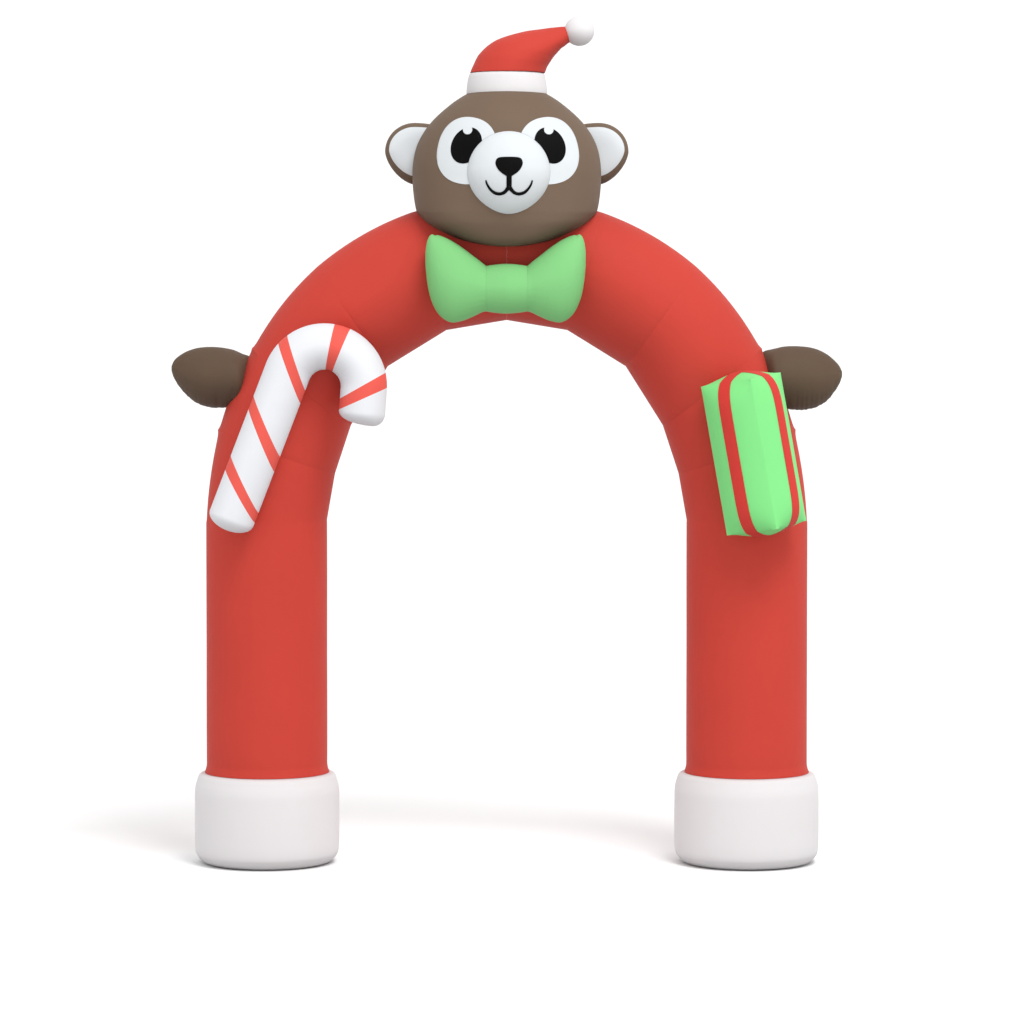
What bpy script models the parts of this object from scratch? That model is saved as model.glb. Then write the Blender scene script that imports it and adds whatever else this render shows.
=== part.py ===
"""Inflatable walk-through arch: cloth chambers, an animal head with a hat, a bow tie, a cane and a gift.

Metres, +Z up, X across the arch, front towards -Y. The tube's middle plane is
set back by ARCH_BACK, so that the origin lies under the middle of the whole object.
"""
import math

import bmesh
import bpy
from mathutils import Matrix, Vector

# Overall
GAP = 0.0003
SEAM_SET_BACK = 0.0002
ARCH_BACK = 0.10
SKIN = 0.003
WELD = 0.00005
MITRE_LIMIT = 0.5
SMOOTH_ANGLE = math.radians(40)
SIDES = ((-1, "left"), (1, "right"))

# Arch tube
ARCH_CENTRE_Z = 1.63
TUBE_RADIUS = 0.272
TUBE_SIDES = 32
SEAM_PINCH = 0.007
PANEL_STATIONS = (0.0, 0.09, 0.36, 0.64, 0.91, 1.0)
LEG_STATIONS = (0.0, 0.12, 0.38, 0.68, 1.0)

# Each row is one seam, or the top of the straight leg: where it crosses the arch's inner and outer line
SEAMS = (
    # inner angle from the crown, inner radius, outer angle, outer radius
    (0.0, 0.811, 0.0, 1.356),
    (19.5, 0.8125, 18.5, 1.364),
    (41.5, 0.806, 39.0, 1.353),
    (64.2, 0.778, 59.1, 1.328),
    (81.0, 0.7815, 76.2, 1.330),
    (96.35, 0.814, 93.8, 1.353),
)
LEG_RINGS = (
    # height, how far the cloth stands out from the tube's radius
    (1.0, 0.0),
    (0.455, 0.0),
    (0.425, 0.004),
    (0.4075, 0.010),
)

# Feet
FOOT_X = 1.08
FOOT_PROFILE = (
    # radius, height, from the top down
    (0.0, 0.407),
    (0.270, 0.407),
    (0.299, 0.4035),
    (0.316, 0.369),
    (0.325, 0.345),
    (0.325, 0.062),
    (0.316, 0.0375),
    (0.3015, 0.018),
    (0.287, 0.0072),
    (0.240, 0.0),
    (0.0, 0.0),
)

# Head
HEAD_SIDES = 36
HEAD_FORWARD = -0.06
HEAD_SECTIONS = (
    # height, half width, half depth, squareness
    (2.7675, 0.035, 0.285, 4.0),
    (2.775, 0.112, 0.312, 3.6),
    (2.802, 0.226, 0.345, 3.2),
    (2.858, 0.338, 0.371, 2.8),
    (2.905, 0.388, 0.380, 2.5),
    (2.945, 0.408, 0.384, 2.3),
    (3.050, 0.421, 0.385, 2.15),
    (3.150, 0.418, 0.380, 2.1),
    (3.239, 0.394, 0.365, 2.0),
    (3.325, 0.338, 0.325, 2.0),
    (3.405, 0.250, 0.250, 2.0),
    (3.455, 0.172, 0.178, 2.0),
    (3.490, 0.090, 0.095, 2.0),
    (3.500, 0.030, 0.032, 2.0),
)

# Muzzle: a dome whose root runs into the head
MUZZLE_CENTRE = (0.008, 3.089)
MUZZLE_RADIUS = 0.1845
MUZZLE_ROOT_Y = -0.39
MUZZLE_ROOT_LENGTH = 0.07
MUZZLE_HEIGHT = 0.13
MUZZLE_DROOP = 0.07
MUZZLE_SIDES = 28
MUZZLE_STEPS = 6
MUZZLE_LAST_RING = math.radians(84)

# Eyes and their pale patches. The left ones are mirrored, but the whole face is sewn on a little to the right
PATCH_CENTRE = (0.181, 3.187)
PATCH_ASIDE = 0.005
PATCH_RADII = (0.1295, 0.149)
PATCH_TILT = math.radians(12.8)
PATCH_POWER = 2.25
EYE_CENTRE = (0.1838, 3.2085)
EYE_ASIDE = 0.0062
EYE_RADII = (0.065, 0.0837)
EYE_TILT = math.radians(27)
GLINT_OFFSET = (-0.0055, 0.070)
GLINT_RADIUS = 0.021
GLINT_STEPS = 5
OUTLINE_POINTS = 28

# Nose and mouth on the muzzle, measured from the middle of the lip
LIP_X = 0.010
LIP_BAR_HALF_WIDTH = 0.0115
LIP_BAR_BOTTOM = 3.024
NOSE_SIDE = (
    # x and height down the right side, to where the lip bar starts
    (0.0300, 3.1535),
    (0.0520, 3.1470),
    (0.0595, 3.1300),
    (0.0555, 3.1120),
    (0.0440, 3.0940),
    (0.0260, 3.0790),
    (0.0115, 3.0700),
)
MOUTH_NOTCH = 3.008
MOUTH_LINE = (
    # x, height and width of the right stroke, from the lip bar to its tip
    (0.0000, 3.0231, 0.0155),
    (0.0152, 3.0044, 0.0150),
    (0.0281, 2.9955, 0.0140),
    (0.0440, 2.9927, 0.0135),
    (0.0632, 2.9974, 0.0130),
    (0.0772, 3.0079, 0.0115),
    (0.0889, 3.0220, 0.0100),
    (0.0971, 3.0372, 0.0085),
    (0.1013, 3.0524, 0.0060),
)

# Ears: an outline that is round above, drawn in below, and runs on into the head
EAR_X = 0.4135
EAR_INNER_REACH = 0.24
EAR_LOW_POWER = 1.6
EAR_OUTLINE = (3.197, 0.133, 0.1292, 0.1475)
EAR_PANEL_OUTLINE = (3.203, 0.1135, 0.1025, 0.1175)
EAR_BACK = 0.005
EAR_SIDES = 28
EAR_SECTIONS = (
    # distance from the ear's middle plane, share of its outline
    (-0.054, 0.80),
    (-0.044, 0.91),
    (-0.018, 1.0),
    (0.018, 1.0),
    (0.046, 0.84),
    (0.056, 0.55),
)

# Front and back of the prisms from which the flat panels are cut, before each is trimmed to a skin
EYE_CUT = (-0.60, -0.25)
NOSE_CUT = (-0.60, -0.42)
EAR_CUT = (-0.12, -0.02)

# Hat
HAT_SIDES = 24
BAND_PROFILE = (
    # radius, height, from the top down
    (0.0, 3.5455),
    (0.156, 3.5455),
    (0.167, 3.540),
    (0.174, 3.516),
    (0.180, 3.470),
    (0.178, 3.440),
    (0.160, 3.405),
    (0.0, 3.405),
)
CONE_SECTIONS = (
    # middle x and height, half of the chord across the bend, its slope in degrees, half depth
    (0.003, 3.546, 0.168, 0, 0.168),
    (0.016, 3.5775, 0.164, -2.6, 0.164),
    (0.037, 3.613, 0.158, -7.6, 0.158),
    (0.082, 3.656, 0.137, -14.3, 0.139),
    (0.155, 3.690, 0.094, -24.1, 0.098),
    (0.204, 3.703, 0.066, -35.1, 0.070),
    (0.2435, 3.713, 0.046, -51.8, 0.049),
    (0.266, 3.7166, 0.038, -69.8, 0.040),
    (0.284, 3.722, 0.031, -74, 0.032),
)
POMPOM_CENTRE = (0.324, 3.733)
POMPOM_RADIUS = 0.067
POMPOM_SEGMENTS = 20
POMPOM_RINGS = 12

# Bow tie
BOW_FORWARD = -0.335
BOW_SIDES = 24
KNOT_Z = 2.581
KNOT_SECTIONS = (
    # x, half height, half depth
    (-0.0900, 0.1000, 0.072),
    (-0.0780, 0.1025, 0.083),
    (-0.0600, 0.1050, 0.0895),
    (-0.0300, 0.1085, 0.0935),
    (0.0000, 0.1095, 0.0945),
    (0.0300, 0.1085, 0.0935),
    (0.0600, 0.1050, 0.0895),
    (0.0780, 0.1025, 0.083),
    (0.0900, 0.1000, 0.072),
)
LOBE_REACH = {"left": 1.0, "right": 0.96}
LOBE_START = 0.0904
LOBE_SECTIONS = (
    # distance out from the knot, top, bottom, half depth
    (0.0000, 2.681, 2.481, 0.072),
    (0.0216, 2.699, 2.475, 0.084),
    (0.0596, 2.728, 2.457, 0.095),
    (0.1096, 2.765, 2.438, 0.101),
    (0.1596, 2.796, 2.434, 0.100),
    (0.2076, 2.8155, 2.466, 0.086),
    (0.2416, 2.819, 2.528, 0.060),
    (0.2596, 2.792, 2.605, 0.032),
    (0.2676, 2.745, 2.680, 0.010),
)

# Arms
ARM_SIDES = 24
ARM_SECTIONS = {
    # distance from the middle, middle height, half height, half depth
    "left": (
        (1.130, 2.170, 0.085, 0.060),
        (1.157, 2.172, 0.107, 0.095),
        (1.187, 2.171, 0.119, 0.135),
        (1.220, 2.178, 0.127, 0.150),
        (1.242, 2.1805, 0.131, 0.150),
        (1.283, 2.182, 0.1366, 0.145),
        (1.324, 2.184, 0.1373, 0.138),
        (1.365, 2.188, 0.132, 0.128),
        (1.403, 2.1935, 0.120, 0.112),
        (1.447, 2.2035, 0.0935, 0.085),
        (1.489, 2.2165, 0.051, 0.046),
        (1.506, 2.223, 0.014, 0.012),
    ),
    "right": (
        (1.130, 2.190, 0.090, 0.060),
        (1.157, 2.1895, 0.1125, 0.095),
        (1.187, 2.187, 0.123, 0.135),
        (1.214, 2.185, 0.131, 0.149),
        (1.242, 2.184, 0.1385, 0.152),
        (1.283, 2.1815, 0.1435, 0.149),
        (1.324, 2.1794, 0.1442, 0.141),
        (1.365, 2.1795, 0.139, 0.130),
        (1.403, 2.1805, 0.1265, 0.114),
        (1.447, 2.1833, 0.0993, 0.087),
        (1.489, 2.1925, 0.0505, 0.046),
        (1.506, 2.1975, 0.014, 0.012),
    ),
}

# Cane
CANE_FORWARD = -0.335
CANE_RADIUS = 0.1023
CANE_LEAN = math.radians(21)
CANE_BEND_CENTRE = (-0.807, 2.1527)
CANE_BEND_RADIUS = 0.1736
CANE_SHAFT = 0.7488
CANE_BEND_END = math.radians(-4)
CANE_TAIL = 0.1624
CANE_END_DEPTH = 0.060
CANE_BEND_STEPS = 12
CANE_END_STEPS = 4
CANE_END_FIRST = math.radians(7)
CANE_ROUNDNESS = 8

# Gift: its front edge sets how far forward the whole object reaches
GIFT_X = 1.088
GIFT_FRONT = -0.525
GIFT_Z = 1.854
GIFT_SIDE = 0.258
GIFT_LENGTH = 0.665
GIFT_TURN = math.radians(-32.8)
GIFT_LEAN = math.radians(-10)
GIFT_BULGE = 0.043
GIFT_END_BULGE = 0.045
GIFT_CELLS = 6
GIFT_ACROSS = (0.0, 0.233, 0.62, 1.0)
GIFT_ALONG = (0.0, 0.45, 0.84, 1.0)
RIBBON_THICKNESS = 0.0015

COLOURS = {
    # material: linear red, green, blue, roughness
    "arch_red": (0.60, 0.065, 0.045, 0.62),
    "foot_white": (0.84, 0.84, 0.86, 0.60),
    "head_brown": (0.195, 0.138, 0.098, 0.65),
    "arm_brown": (0.132, 0.088, 0.058, 0.65),
    "panel_white": (0.84, 0.85, 0.86, 0.60),
    "face_black": (0.006, 0.006, 0.007, 0.55),
    "bow_green": (0.31, 0.74, 0.30, 0.60),
    "gift_green": (0.29, 0.87, 0.31, 0.60),
    "ribbon_red": (0.75, 0.055, 0.045, 0.60),
    "cane_white": (0.86, 0.87, 0.88, 0.60),
}


def clear_scene():
    for item in list(bpy.data.objects):
        bpy.data.objects.remove(item, do_unlink=True)


def new_group(name):
    group = bpy.data.collections.new(name)
    bpy.context.scene.collection.children.link(group)
    return group


def new_material(name, red, green, blue, roughness):
    material = bpy.data.materials.new(name)
    material.use_nodes = True
    shader = material.node_tree.nodes["Principled BSDF"]
    shader.inputs["Base Color"].default_value = (red, green, blue, 1.0)
    shader.inputs["Roughness"].default_value = roughness
    shader.inputs["Metallic"].default_value = 0.0
    return material


clear_scene()
PARTS = new_group("inflatable_arch")
CUTTERS = new_group("cutters")
MATERIALS = {name: new_material(name, *values) for name, values in COLOURS.items()}
ARCH_PLANE = bpy.data.objects.new("arch_plane", None)
ARCH_PLANE.location = (0.0, ARCH_BACK, 0.0)
PARTS.objects.link(ARCH_PLANE)


def place(item, material_name):
    """Put an object under the arch plane: a part with its material, or a cutter when it has none."""
    item.parent = ARCH_PLANE
    if material_name is None:
        CUTTERS.objects.link(item)
        item.hide_render = True
        item.display_type = "WIRE"
        return item
    PARTS.objects.link(item)
    item.data.materials.clear()
    item.data.materials.append(MATERIALS[material_name])
    item.data.shade_smooth()
    item.data.set_sharp_from_angle(angle=SMOOTH_ANGLE)
    return item


def mesh_from(name, shape):
    """A mesh of outward triangles, so that a grown copy has the same facets."""
    bmesh.ops.triangulate(shape, faces=shape.faces)
    bmesh.ops.recalc_face_normals(shape, faces=shape.faces)
    mesh = bpy.data.meshes.new(name)
    shape.to_mesh(mesh)
    shape.free()
    return mesh


def signed_power(value, power):
    return math.copysign(abs(value) ** power, value)


def ring(centre, first, second, count, power=2.0):
    """One closed section about its centre, from two half axes. Power 2 is an ellipse."""
    points = []
    for step in range(count):
        angle = 2 * math.pi * step / count
        along = signed_power(math.cos(angle), 2 / power)
        across = signed_power(math.sin(angle), 2 / power)
        points.append(Vector(centre) + along * Vector(first) + across * Vector(second))
    return points


def loft(name, rings, material_name):
    """One closed solid through sections of equal count, with a flat cap at each end."""
    shape = bmesh.new()
    loops = [[shape.verts.new(point) for point in points] for points in rings]
    for lower, upper in zip(loops, loops[1:]):
        for step in range(len(lower)):
            after = (step + 1) % len(lower)
            shape.faces.new((lower[step], lower[after], upper[after]))
            shape.faces.new((lower[step], upper[after], upper[step]))
    shape.faces.new(loops[0])
    shape.faces.new(loops[-1])
    return place(bpy.data.objects.new(name, mesh_from(name, shape)), material_name)


def push_out(shape, distance):
    """Move each facet of a bmesh outwards by the distance."""
    shape.normal_update()
    moves = [vertex.normal * vertex.calc_shell_factor() * distance for vertex in shape.verts]
    for vertex, move in zip(shape.verts, moves):
        vertex.co += move


def grown(source, distance, name):
    """A cutter with the source's own facets, each moved outwards by the distance."""
    shape = bmesh.new()
    shape.from_mesh(source.data)
    push_out(shape, distance)
    mesh = bpy.data.meshes.new(name)
    shape.to_mesh(mesh)
    shape.free()
    return place(bpy.data.objects.new(name, mesh), None)


def combine(target, operation, *others):
    for other in others:
        modifier = target.modifiers.new(operation.lower() + "_" + other.name, "BOOLEAN")
        modifier.operation = operation
        modifier.solver = "EXACT"
        modifier.object = other


def turned(name, profile, centre_x, centre_y, sides, material_name):
    """A solid turned about the vertical axis from a profile listed from the top down."""
    mesh = bpy.data.meshes.new(name)
    points = [(radius, 0.0, height) for radius, height in profile]
    mesh.from_pydata(points, [(step, step + 1) for step in range(len(points) - 1)], [])
    item = bpy.data.objects.new(name, mesh)
    item.location = (centre_x, centre_y, 0.0)
    screw = item.modifiers.new("turn", "SCREW")
    screw.steps = sides
    screw.render_steps = sides
    screw.use_merge_vertices = True
    screw.merge_threshold = WELD
    screw.use_smooth_shade = True
    return place(item, material_name)


# Arch tube
def polar(side, degrees, radius):
    """A point in the arch plane, by its angle from the crown and its distance from the arch's centre."""
    angle = math.radians(degrees)
    return Vector((side * radius * math.sin(angle), 0.0, ARCH_CENTRE_Z + radius * math.cos(angle)))


def seam_ends(spot, side):
    """The inner and outer points of the tube at a seam number, or at a fraction between two."""
    first = min(int(spot), len(SEAMS) - 2)
    share = spot - first
    inner_a, in_radius_a, outer_a, out_radius_a = SEAMS[first]
    inner_b, in_radius_b, outer_b, out_radius_b = SEAMS[first + 1]
    inner = polar(side, inner_a, in_radius_a).lerp(polar(side, inner_b, in_radius_b), share)
    # The last bend first keeps to the arch's circle and then eases out into the straight leg
    widening = share ** 2 if first == len(SEAMS) - 2 else share
    outer_radius = out_radius_a + (out_radius_b - out_radius_a) * widening
    return inner, polar(side, outer_a + (outer_b - outer_a) * share, outer_radius)


def tube_ring(inner, outer, grow=0.0, shift=0.0):
    """A tube section between two points, grown, and shifted along the tube by a little."""
    scale = 1 + grow / TUBE_RADIUS
    reach = (outer - inner) / 2
    along = Vector((-reach.z, 0.0, reach.x)).normalized()
    centre = (inner + outer) / 2 + along * shift
    return ring(centre, reach * scale, Vector((0.0, TUBE_RADIUS * scale, 0.0)), TUBE_SIDES)


def tube_stations(number):
    """Places along the tube from one seam to the next."""
    stations = PANEL_STATIONS if number < len(SEAMS) - 2 else LEG_STATIONS
    return [number + station for station in stations]


def leg_ends(height, side):
    centre = Vector((side * FOOT_X, 0.0, height))
    reach = Vector((side * TUBE_RADIUS, 0.0, 0.0))
    return centre - reach, centre + reach


def make_panel(number, side, name):
    """One mitred chamber between two seams, drawn in at both."""
    first, *inside, last = tube_stations(number)
    rings = [tube_ring(*seam_ends(first, side), -SEAM_PINCH, -side * SEAM_SET_BACK)]
    rings += [tube_ring(*seam_ends(spot, side)) for spot in inside]
    rings.append(tube_ring(*seam_ends(last, side), -SEAM_PINCH, side * SEAM_SET_BACK))
    loft(name, rings[::side], "arch_red")


def make_leg(side, name):
    """The leg chamber: from the last seam through the bend, then straight down to the foot."""
    first, *others = tube_stations(len(SEAMS) - 2)
    rings = [tube_ring(*seam_ends(first, side), -SEAM_PINCH, -side * SEAM_SET_BACK)]
    rings += [tube_ring(*seam_ends(spot, side)) for spot in others]
    rings += [tube_ring(*leg_ends(height, side), stand_out) for height, stand_out in LEG_RINGS]
    loft(name, rings[::side], "arch_red")


def make_tube_clearance():
    """The whole tube, unpinched and grown by the gap, which cuts what is sewn on to it."""
    rings = []
    for side, _ in SIDES:
        half = [tube_ring(*seam_ends(0, side), GAP)]
        for number in range(len(SEAMS) - 1):
            half += [tube_ring(*seam_ends(spot, side), GAP) for spot in tube_stations(number)[1:]]
        half.append(tube_ring(*leg_ends(LEG_RINGS[0][0], side), GAP))
        rings += half[::-1] if side < 0 else half[1:]
    return loft("tube_clearance", rings, None)


def make_arch():
    for side, word in SIDES:
        for number in range(len(SEAMS) - 2):
            make_panel(number, side, "arch_%s_%d" % (word, number + 1))
        make_leg(side, "leg_" + word)
        turned("foot_" + word, FOOT_PROFILE, side * FOOT_X, 0.0, TUBE_SIDES, "foot_white")
    return make_tube_clearance()


# Flat outlines cut from a skin
def ellipse(centre, radii, tilt, side, power=2.0):
    """A round outline in the X-Z plane whose top leans inwards by the tilt. Power 2 is an ellipse."""
    points = []
    for step in range(OUTLINE_POINTS):
        angle = 2 * math.pi * step / OUTLINE_POINTS
        across = radii[0] * signed_power(math.cos(angle), 2 / power)
        up = radii[1] * signed_power(math.sin(angle), 2 / power)
        x = centre[0] + across * math.cos(tilt) - up * math.sin(tilt)
        z = centre[1] + across * math.sin(tilt) + up * math.cos(tilt)
        points.append(Vector((side * x, z)))
    return points if side > 0 else points[::-1]


def bite(points, centre, radius):
    """Take a round bite out of an outline: its stretch inside the circle follows the circle instead."""
    inside = [(point - centre).length < radius for point in points]
    start = next(step for step in range(len(points)) if inside[step] and not inside[step - 1])
    count = sum(inside)
    middle = sum(points, Vector((0.0, 0.0))) / len(points)
    inward = (middle - centre).normalized()
    first = inward.angle_signed(points[start - 1] - centre)
    last = inward.angle_signed(points[(start + count) % len(points)] - centre)
    arc = []
    for step in range(GLINT_STEPS + 1):
        angle = first + (last - first) * step / GLINT_STEPS
        arc.append(centre + inward * radius @ Matrix.Rotation(angle, 2))
    kept = [points[(start + count + step) % len(points)] for step in range(len(points) - count)]
    return kept + arc


def widen(points, distance):
    """The outline moved outwards, for the hole that takes a piece cut to that outline."""
    moved = []
    for step, point in enumerate(points):
        before = (point - points[step - 1]).normalized()
        after = (points[(step + 1) % len(points)] - point).normalized()
        normal = Vector((before.y + after.y, -before.x - after.x)).normalized()
        mitre = max(normal.dot(Vector((before.y, -before.x))), MITRE_LIMIT)
        moved.append(point + normal * distance / mitre)
    return moved


def mirrored(points):
    """The same points on the other side of the middle, in the opposite order."""
    return [Vector((-point.x, point.y)) for point in reversed(points)]


def shifted(points, distance):
    return [point + Vector((distance, 0.0)) for point in points]


def prism(name, points, cut, material_name):
    """A flat outline in the X-Z plane, extruded from front to back."""
    front, back = cut
    curve = bpy.data.curves.new(name, "CURVE")
    curve.dimensions = "2D"
    curve.fill_mode = "BOTH"
    curve.extrude = (back - front) / 2
    spline = curve.splines.new("POLY")
    spline.points.add(len(points) - 1)
    for node, point in zip(spline.points, points):
        node.co = (point.x, point.y, 0.0, 1.0)
    spline.use_cyclic_u = True
    source = bpy.data.objects.new(name, curve)
    source.rotation_euler = (math.pi / 2, 0.0, 0.0)
    source.location = (0.0, (front + back) / 2, 0.0)
    return as_mesh(source, name, material_name)


def as_mesh(source, name, material_name):
    """Turn a curve object into a mesh object with welded caps, in the same place."""
    bpy.context.scene.collection.objects.link(source)
    bpy.context.view_layer.update()
    evaluated = source.evaluated_get(bpy.context.evaluated_depsgraph_get())
    mesh = bpy.data.meshes.new_from_object(evaluated)
    mesh.transform(source.matrix_world)
    shape = bmesh.new()
    shape.from_mesh(mesh)
    bmesh.ops.remove_doubles(shape, verts=shape.verts, dist=WELD)
    curve = source.data
    bpy.data.objects.remove(source, do_unlink=True)
    bpy.data.curves.remove(curve)
    bpy.data.meshes.remove(mesh)
    return place(bpy.data.objects.new(name, mesh_from(name, shape)), material_name)


def cut_from_skin(piece, surface, name):
    """Leave of a prism only the thin skin that lies on a surface."""
    combine(piece, "INTERSECT", grown(surface, SKIN, name + "_outside"))
    combine(piece, "DIFFERENCE", grown(surface, GAP, name + "_inside"))


# Head
def make_head(tube_clearance):
    rings = []
    for height, half_width, half_depth, squareness in HEAD_SECTIONS:
        centre = (0.0, HEAD_FORWARD, height)
        rings.append(ring(centre, (half_width, 0, 0), (0, half_depth, 0), HEAD_SIDES, squareness))
    head = loft("head", rings, "head_brown")
    combine(head, "DIFFERENCE", tube_clearance)
    return head


def muzzle_ring(angle, y):
    """A ring of the dome at an angle from its root. Its lower half hangs a little."""
    middle_x, middle_z = MUZZLE_CENTRE
    points = []
    for point in ring((0, 0, 0), (1, 0, 0), (0, 0, 1), MUZZLE_SIDES):
        hang = 1 + MUZZLE_DROOP * max(0.0, -point.z) ** 3
        reach = MUZZLE_RADIUS * math.cos(angle)
        points.append(Vector((middle_x + point.x * reach, y, middle_z + point.z * hang * reach)))
    return points


def make_muzzle(head_clearance):
    rings = [muzzle_ring(0.0, MUZZLE_ROOT_Y + MUZZLE_ROOT_LENGTH)]
    for step in range(MUZZLE_STEPS + 1):
        angle = MUZZLE_LAST_RING * step / MUZZLE_STEPS
        rings.append(muzzle_ring(angle, MUZZLE_ROOT_Y - MUZZLE_HEIGHT * math.sin(angle)))
    muzzle = loft("muzzle", rings, "panel_white")
    combine(muzzle, "DIFFERENCE", head_clearance)
    return muzzle


def make_eye(side, word, head, muzzle_clearance):
    patch_centre = (PATCH_CENTRE[0] + side * PATCH_ASIDE, PATCH_CENTRE[1])
    patch_outline = ellipse(patch_centre, PATCH_RADII, PATCH_TILT, side, PATCH_POWER)
    eye_x, eye_z = EYE_CENTRE[0] + side * EYE_ASIDE, EYE_CENTRE[1]
    glint = Vector((side * (eye_x + GLINT_OFFSET[0]), eye_z + GLINT_OFFSET[1]))
    eye_outline = bite(ellipse((eye_x, eye_z), EYE_RADII, EYE_TILT, side), glint, GLINT_RADIUS)
    patch = prism("eye_patch_" + word, patch_outline, EYE_CUT, "panel_white")
    cut_from_skin(patch, head, "eye_patch_%s_skin" % word)
    hole = prism("eye_hole_" + word, widen(eye_outline, GAP), EYE_CUT, None)
    combine(patch, "DIFFERENCE", hole, muzzle_clearance)
    eye = prism("eye_" + word, eye_outline, EYE_CUT, "face_black")
    cut_from_skin(eye, head, "eye_%s_skin" % word)
    combine(eye, "DIFFERENCE", muzzle_clearance)


def nose_outline():
    """A rounded triangle, point down, that runs on into the upright bar of the lip."""
    right = [Vector(point) for point in NOSE_SIDE]
    right.append(Vector((LIP_BAR_HALF_WIDTH, LIP_BAR_BOTTOM)))
    return shifted(right + mirrored(right), LIP_X)


def mouth_outline():
    """Two strokes that part under the lip bar, curve outwards and thin towards their tips."""
    line = [Vector((x, height)) for x, height, _ in MOUTH_LINE]
    upper = [Vector((LIP_BAR_HALF_WIDTH, LIP_BAR_BOTTOM - GAP))]
    lower = [Vector((0.0, MOUTH_NOTCH))]
    for step in range(1, len(line)):
        along = (line[min(step + 1, len(line) - 1)] - line[step - 1]).normalized()
        across = Vector((-along.y, along.x)) * MOUTH_LINE[step][2] / 2
        upper.append(line[step] + across)
        lower.append(line[step] - across)
    right = upper + lower[::-1]
    return shifted(right + mirrored(right[:-1]), LIP_X)


def make_nose_and_mouth(muzzle):
    nose = prism("nose", nose_outline(), NOSE_CUT, "face_black")
    cut_from_skin(nose, muzzle, "nose_skin")
    mouth = prism("mouth", mouth_outline(), NOSE_CUT, "face_black")
    cut_from_skin(mouth, muzzle, "mouth_skin")


def ear_points(outline, side, share=1.0):
    """An ear's outline, or a share of it, from its middle height and its reach outwards, up and down."""
    middle_z, outward, upward, downward = outline
    points = []
    for step in range(EAR_SIDES):
        angle = 2 * math.pi * step / EAR_SIDES
        power = 2 / EAR_LOW_POWER if math.sin(angle) < 0 else 1.0
        reach = EAR_INNER_REACH if math.cos(angle) < 0 else outward
        height = downward if math.sin(angle) < 0 else upward
        x = EAR_X + share * reach * signed_power(math.cos(angle), power)
        points.append(Vector((side * x, middle_z + share * height * signed_power(math.sin(angle), power))))
    return points


def make_ear(side, word, head_clearance):
    rings = []
    for depth, share in EAR_SECTIONS:
        outline = ear_points(EAR_OUTLINE, side, share)
        rings.append([Vector((point.x, EAR_BACK + depth, point.y)) for point in outline])
    ear = loft("ear_" + word, rings, "head_brown")
    panel = prism("ear_panel_" + word, ear_points(EAR_PANEL_OUTLINE, side), EAR_CUT, "panel_white")
    cut_from_skin(panel, ear, "ear_panel_%s_skin" % word)
    combine(panel, "DIFFERENCE", head_clearance)
    combine(ear, "DIFFERENCE", head_clearance)


def make_hat(head_clearance):
    band = turned("hat_band", BAND_PROFILE, 0.0, HEAD_FORWARD, HAT_SIDES, "foot_white")
    combine(band, "DIFFERENCE", head_clearance)
    rings = []
    for x, height, half_chord, slope, half_depth in CONE_SECTIONS:
        angle = math.radians(slope)
        chord = Vector((math.cos(angle), 0.0, math.sin(angle))) * half_chord
        rings.append(ring((x, HEAD_FORWARD, height), chord, (0, half_depth, 0), HAT_SIDES))
    cone = loft("hat_cone", rings, "arch_red")
    shape = bmesh.new()
    bmesh.ops.create_uvsphere(
        shape, u_segments=POMPOM_SEGMENTS, v_segments=POMPOM_RINGS, radius=POMPOM_RADIUS)
    pompom = bpy.data.objects.new("pompom", mesh_from("pompom", shape))
    x, height = POMPOM_CENTRE
    pompom.data.transform(Matrix.Translation((x, HEAD_FORWARD, height)))
    place(pompom, "foot_white")
    combine(cone, "DIFFERENCE", grown(pompom, GAP, "pompom_clearance"))


def make_bow(tube_clearance):
    rings = []
    for x, half_height, half_depth in KNOT_SECTIONS:
        rings.append(ring((x, BOW_FORWARD, KNOT_Z), (0, 0, half_height), (0, half_depth, 0), BOW_SIDES))
    combine(loft("bow_knot", rings, "bow_green"), "DIFFERENCE", tube_clearance)
    for side, word in SIDES:
        rings = []
        for out, top, bottom, half_depth in LOBE_SECTIONS:
            x = LOBE_START + out * LOBE_REACH[word]
            centre = (side * x, BOW_FORWARD, (top + bottom) / 2)
            rings.append(ring(centre, (0, 0, (top - bottom) / 2), (0, half_depth, 0), BOW_SIDES))
        combine(loft("bow_" + word, rings, "bow_green"), "DIFFERENCE", tube_clearance)


def make_arms(tube_clearance):
    for side, word in SIDES:
        rings = []
        for x, height, half_height, half_depth in ARM_SECTIONS[word]:
            centre = (side * x, 0.0, height)
            rings.append(ring(centre, (0, 0, half_height), (0, half_depth, 0), ARM_SIDES))
        combine(loft("arm_" + word, rings, "arm_brown"), "DIFFERENCE", tube_clearance)


# Cane
def round_end(tip, inward):
    """Points from a round end inwards, with the share of the cane's radius at each."""
    rows = []
    for step in range(CANE_END_STEPS + 1):
        angle = CANE_END_FIRST + (math.pi / 2 - CANE_END_FIRST) * step / CANE_END_STEPS
        rows.append((tip + inward * CANE_END_DEPTH * (1 - math.cos(angle)), math.sin(angle)))
    return rows


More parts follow.
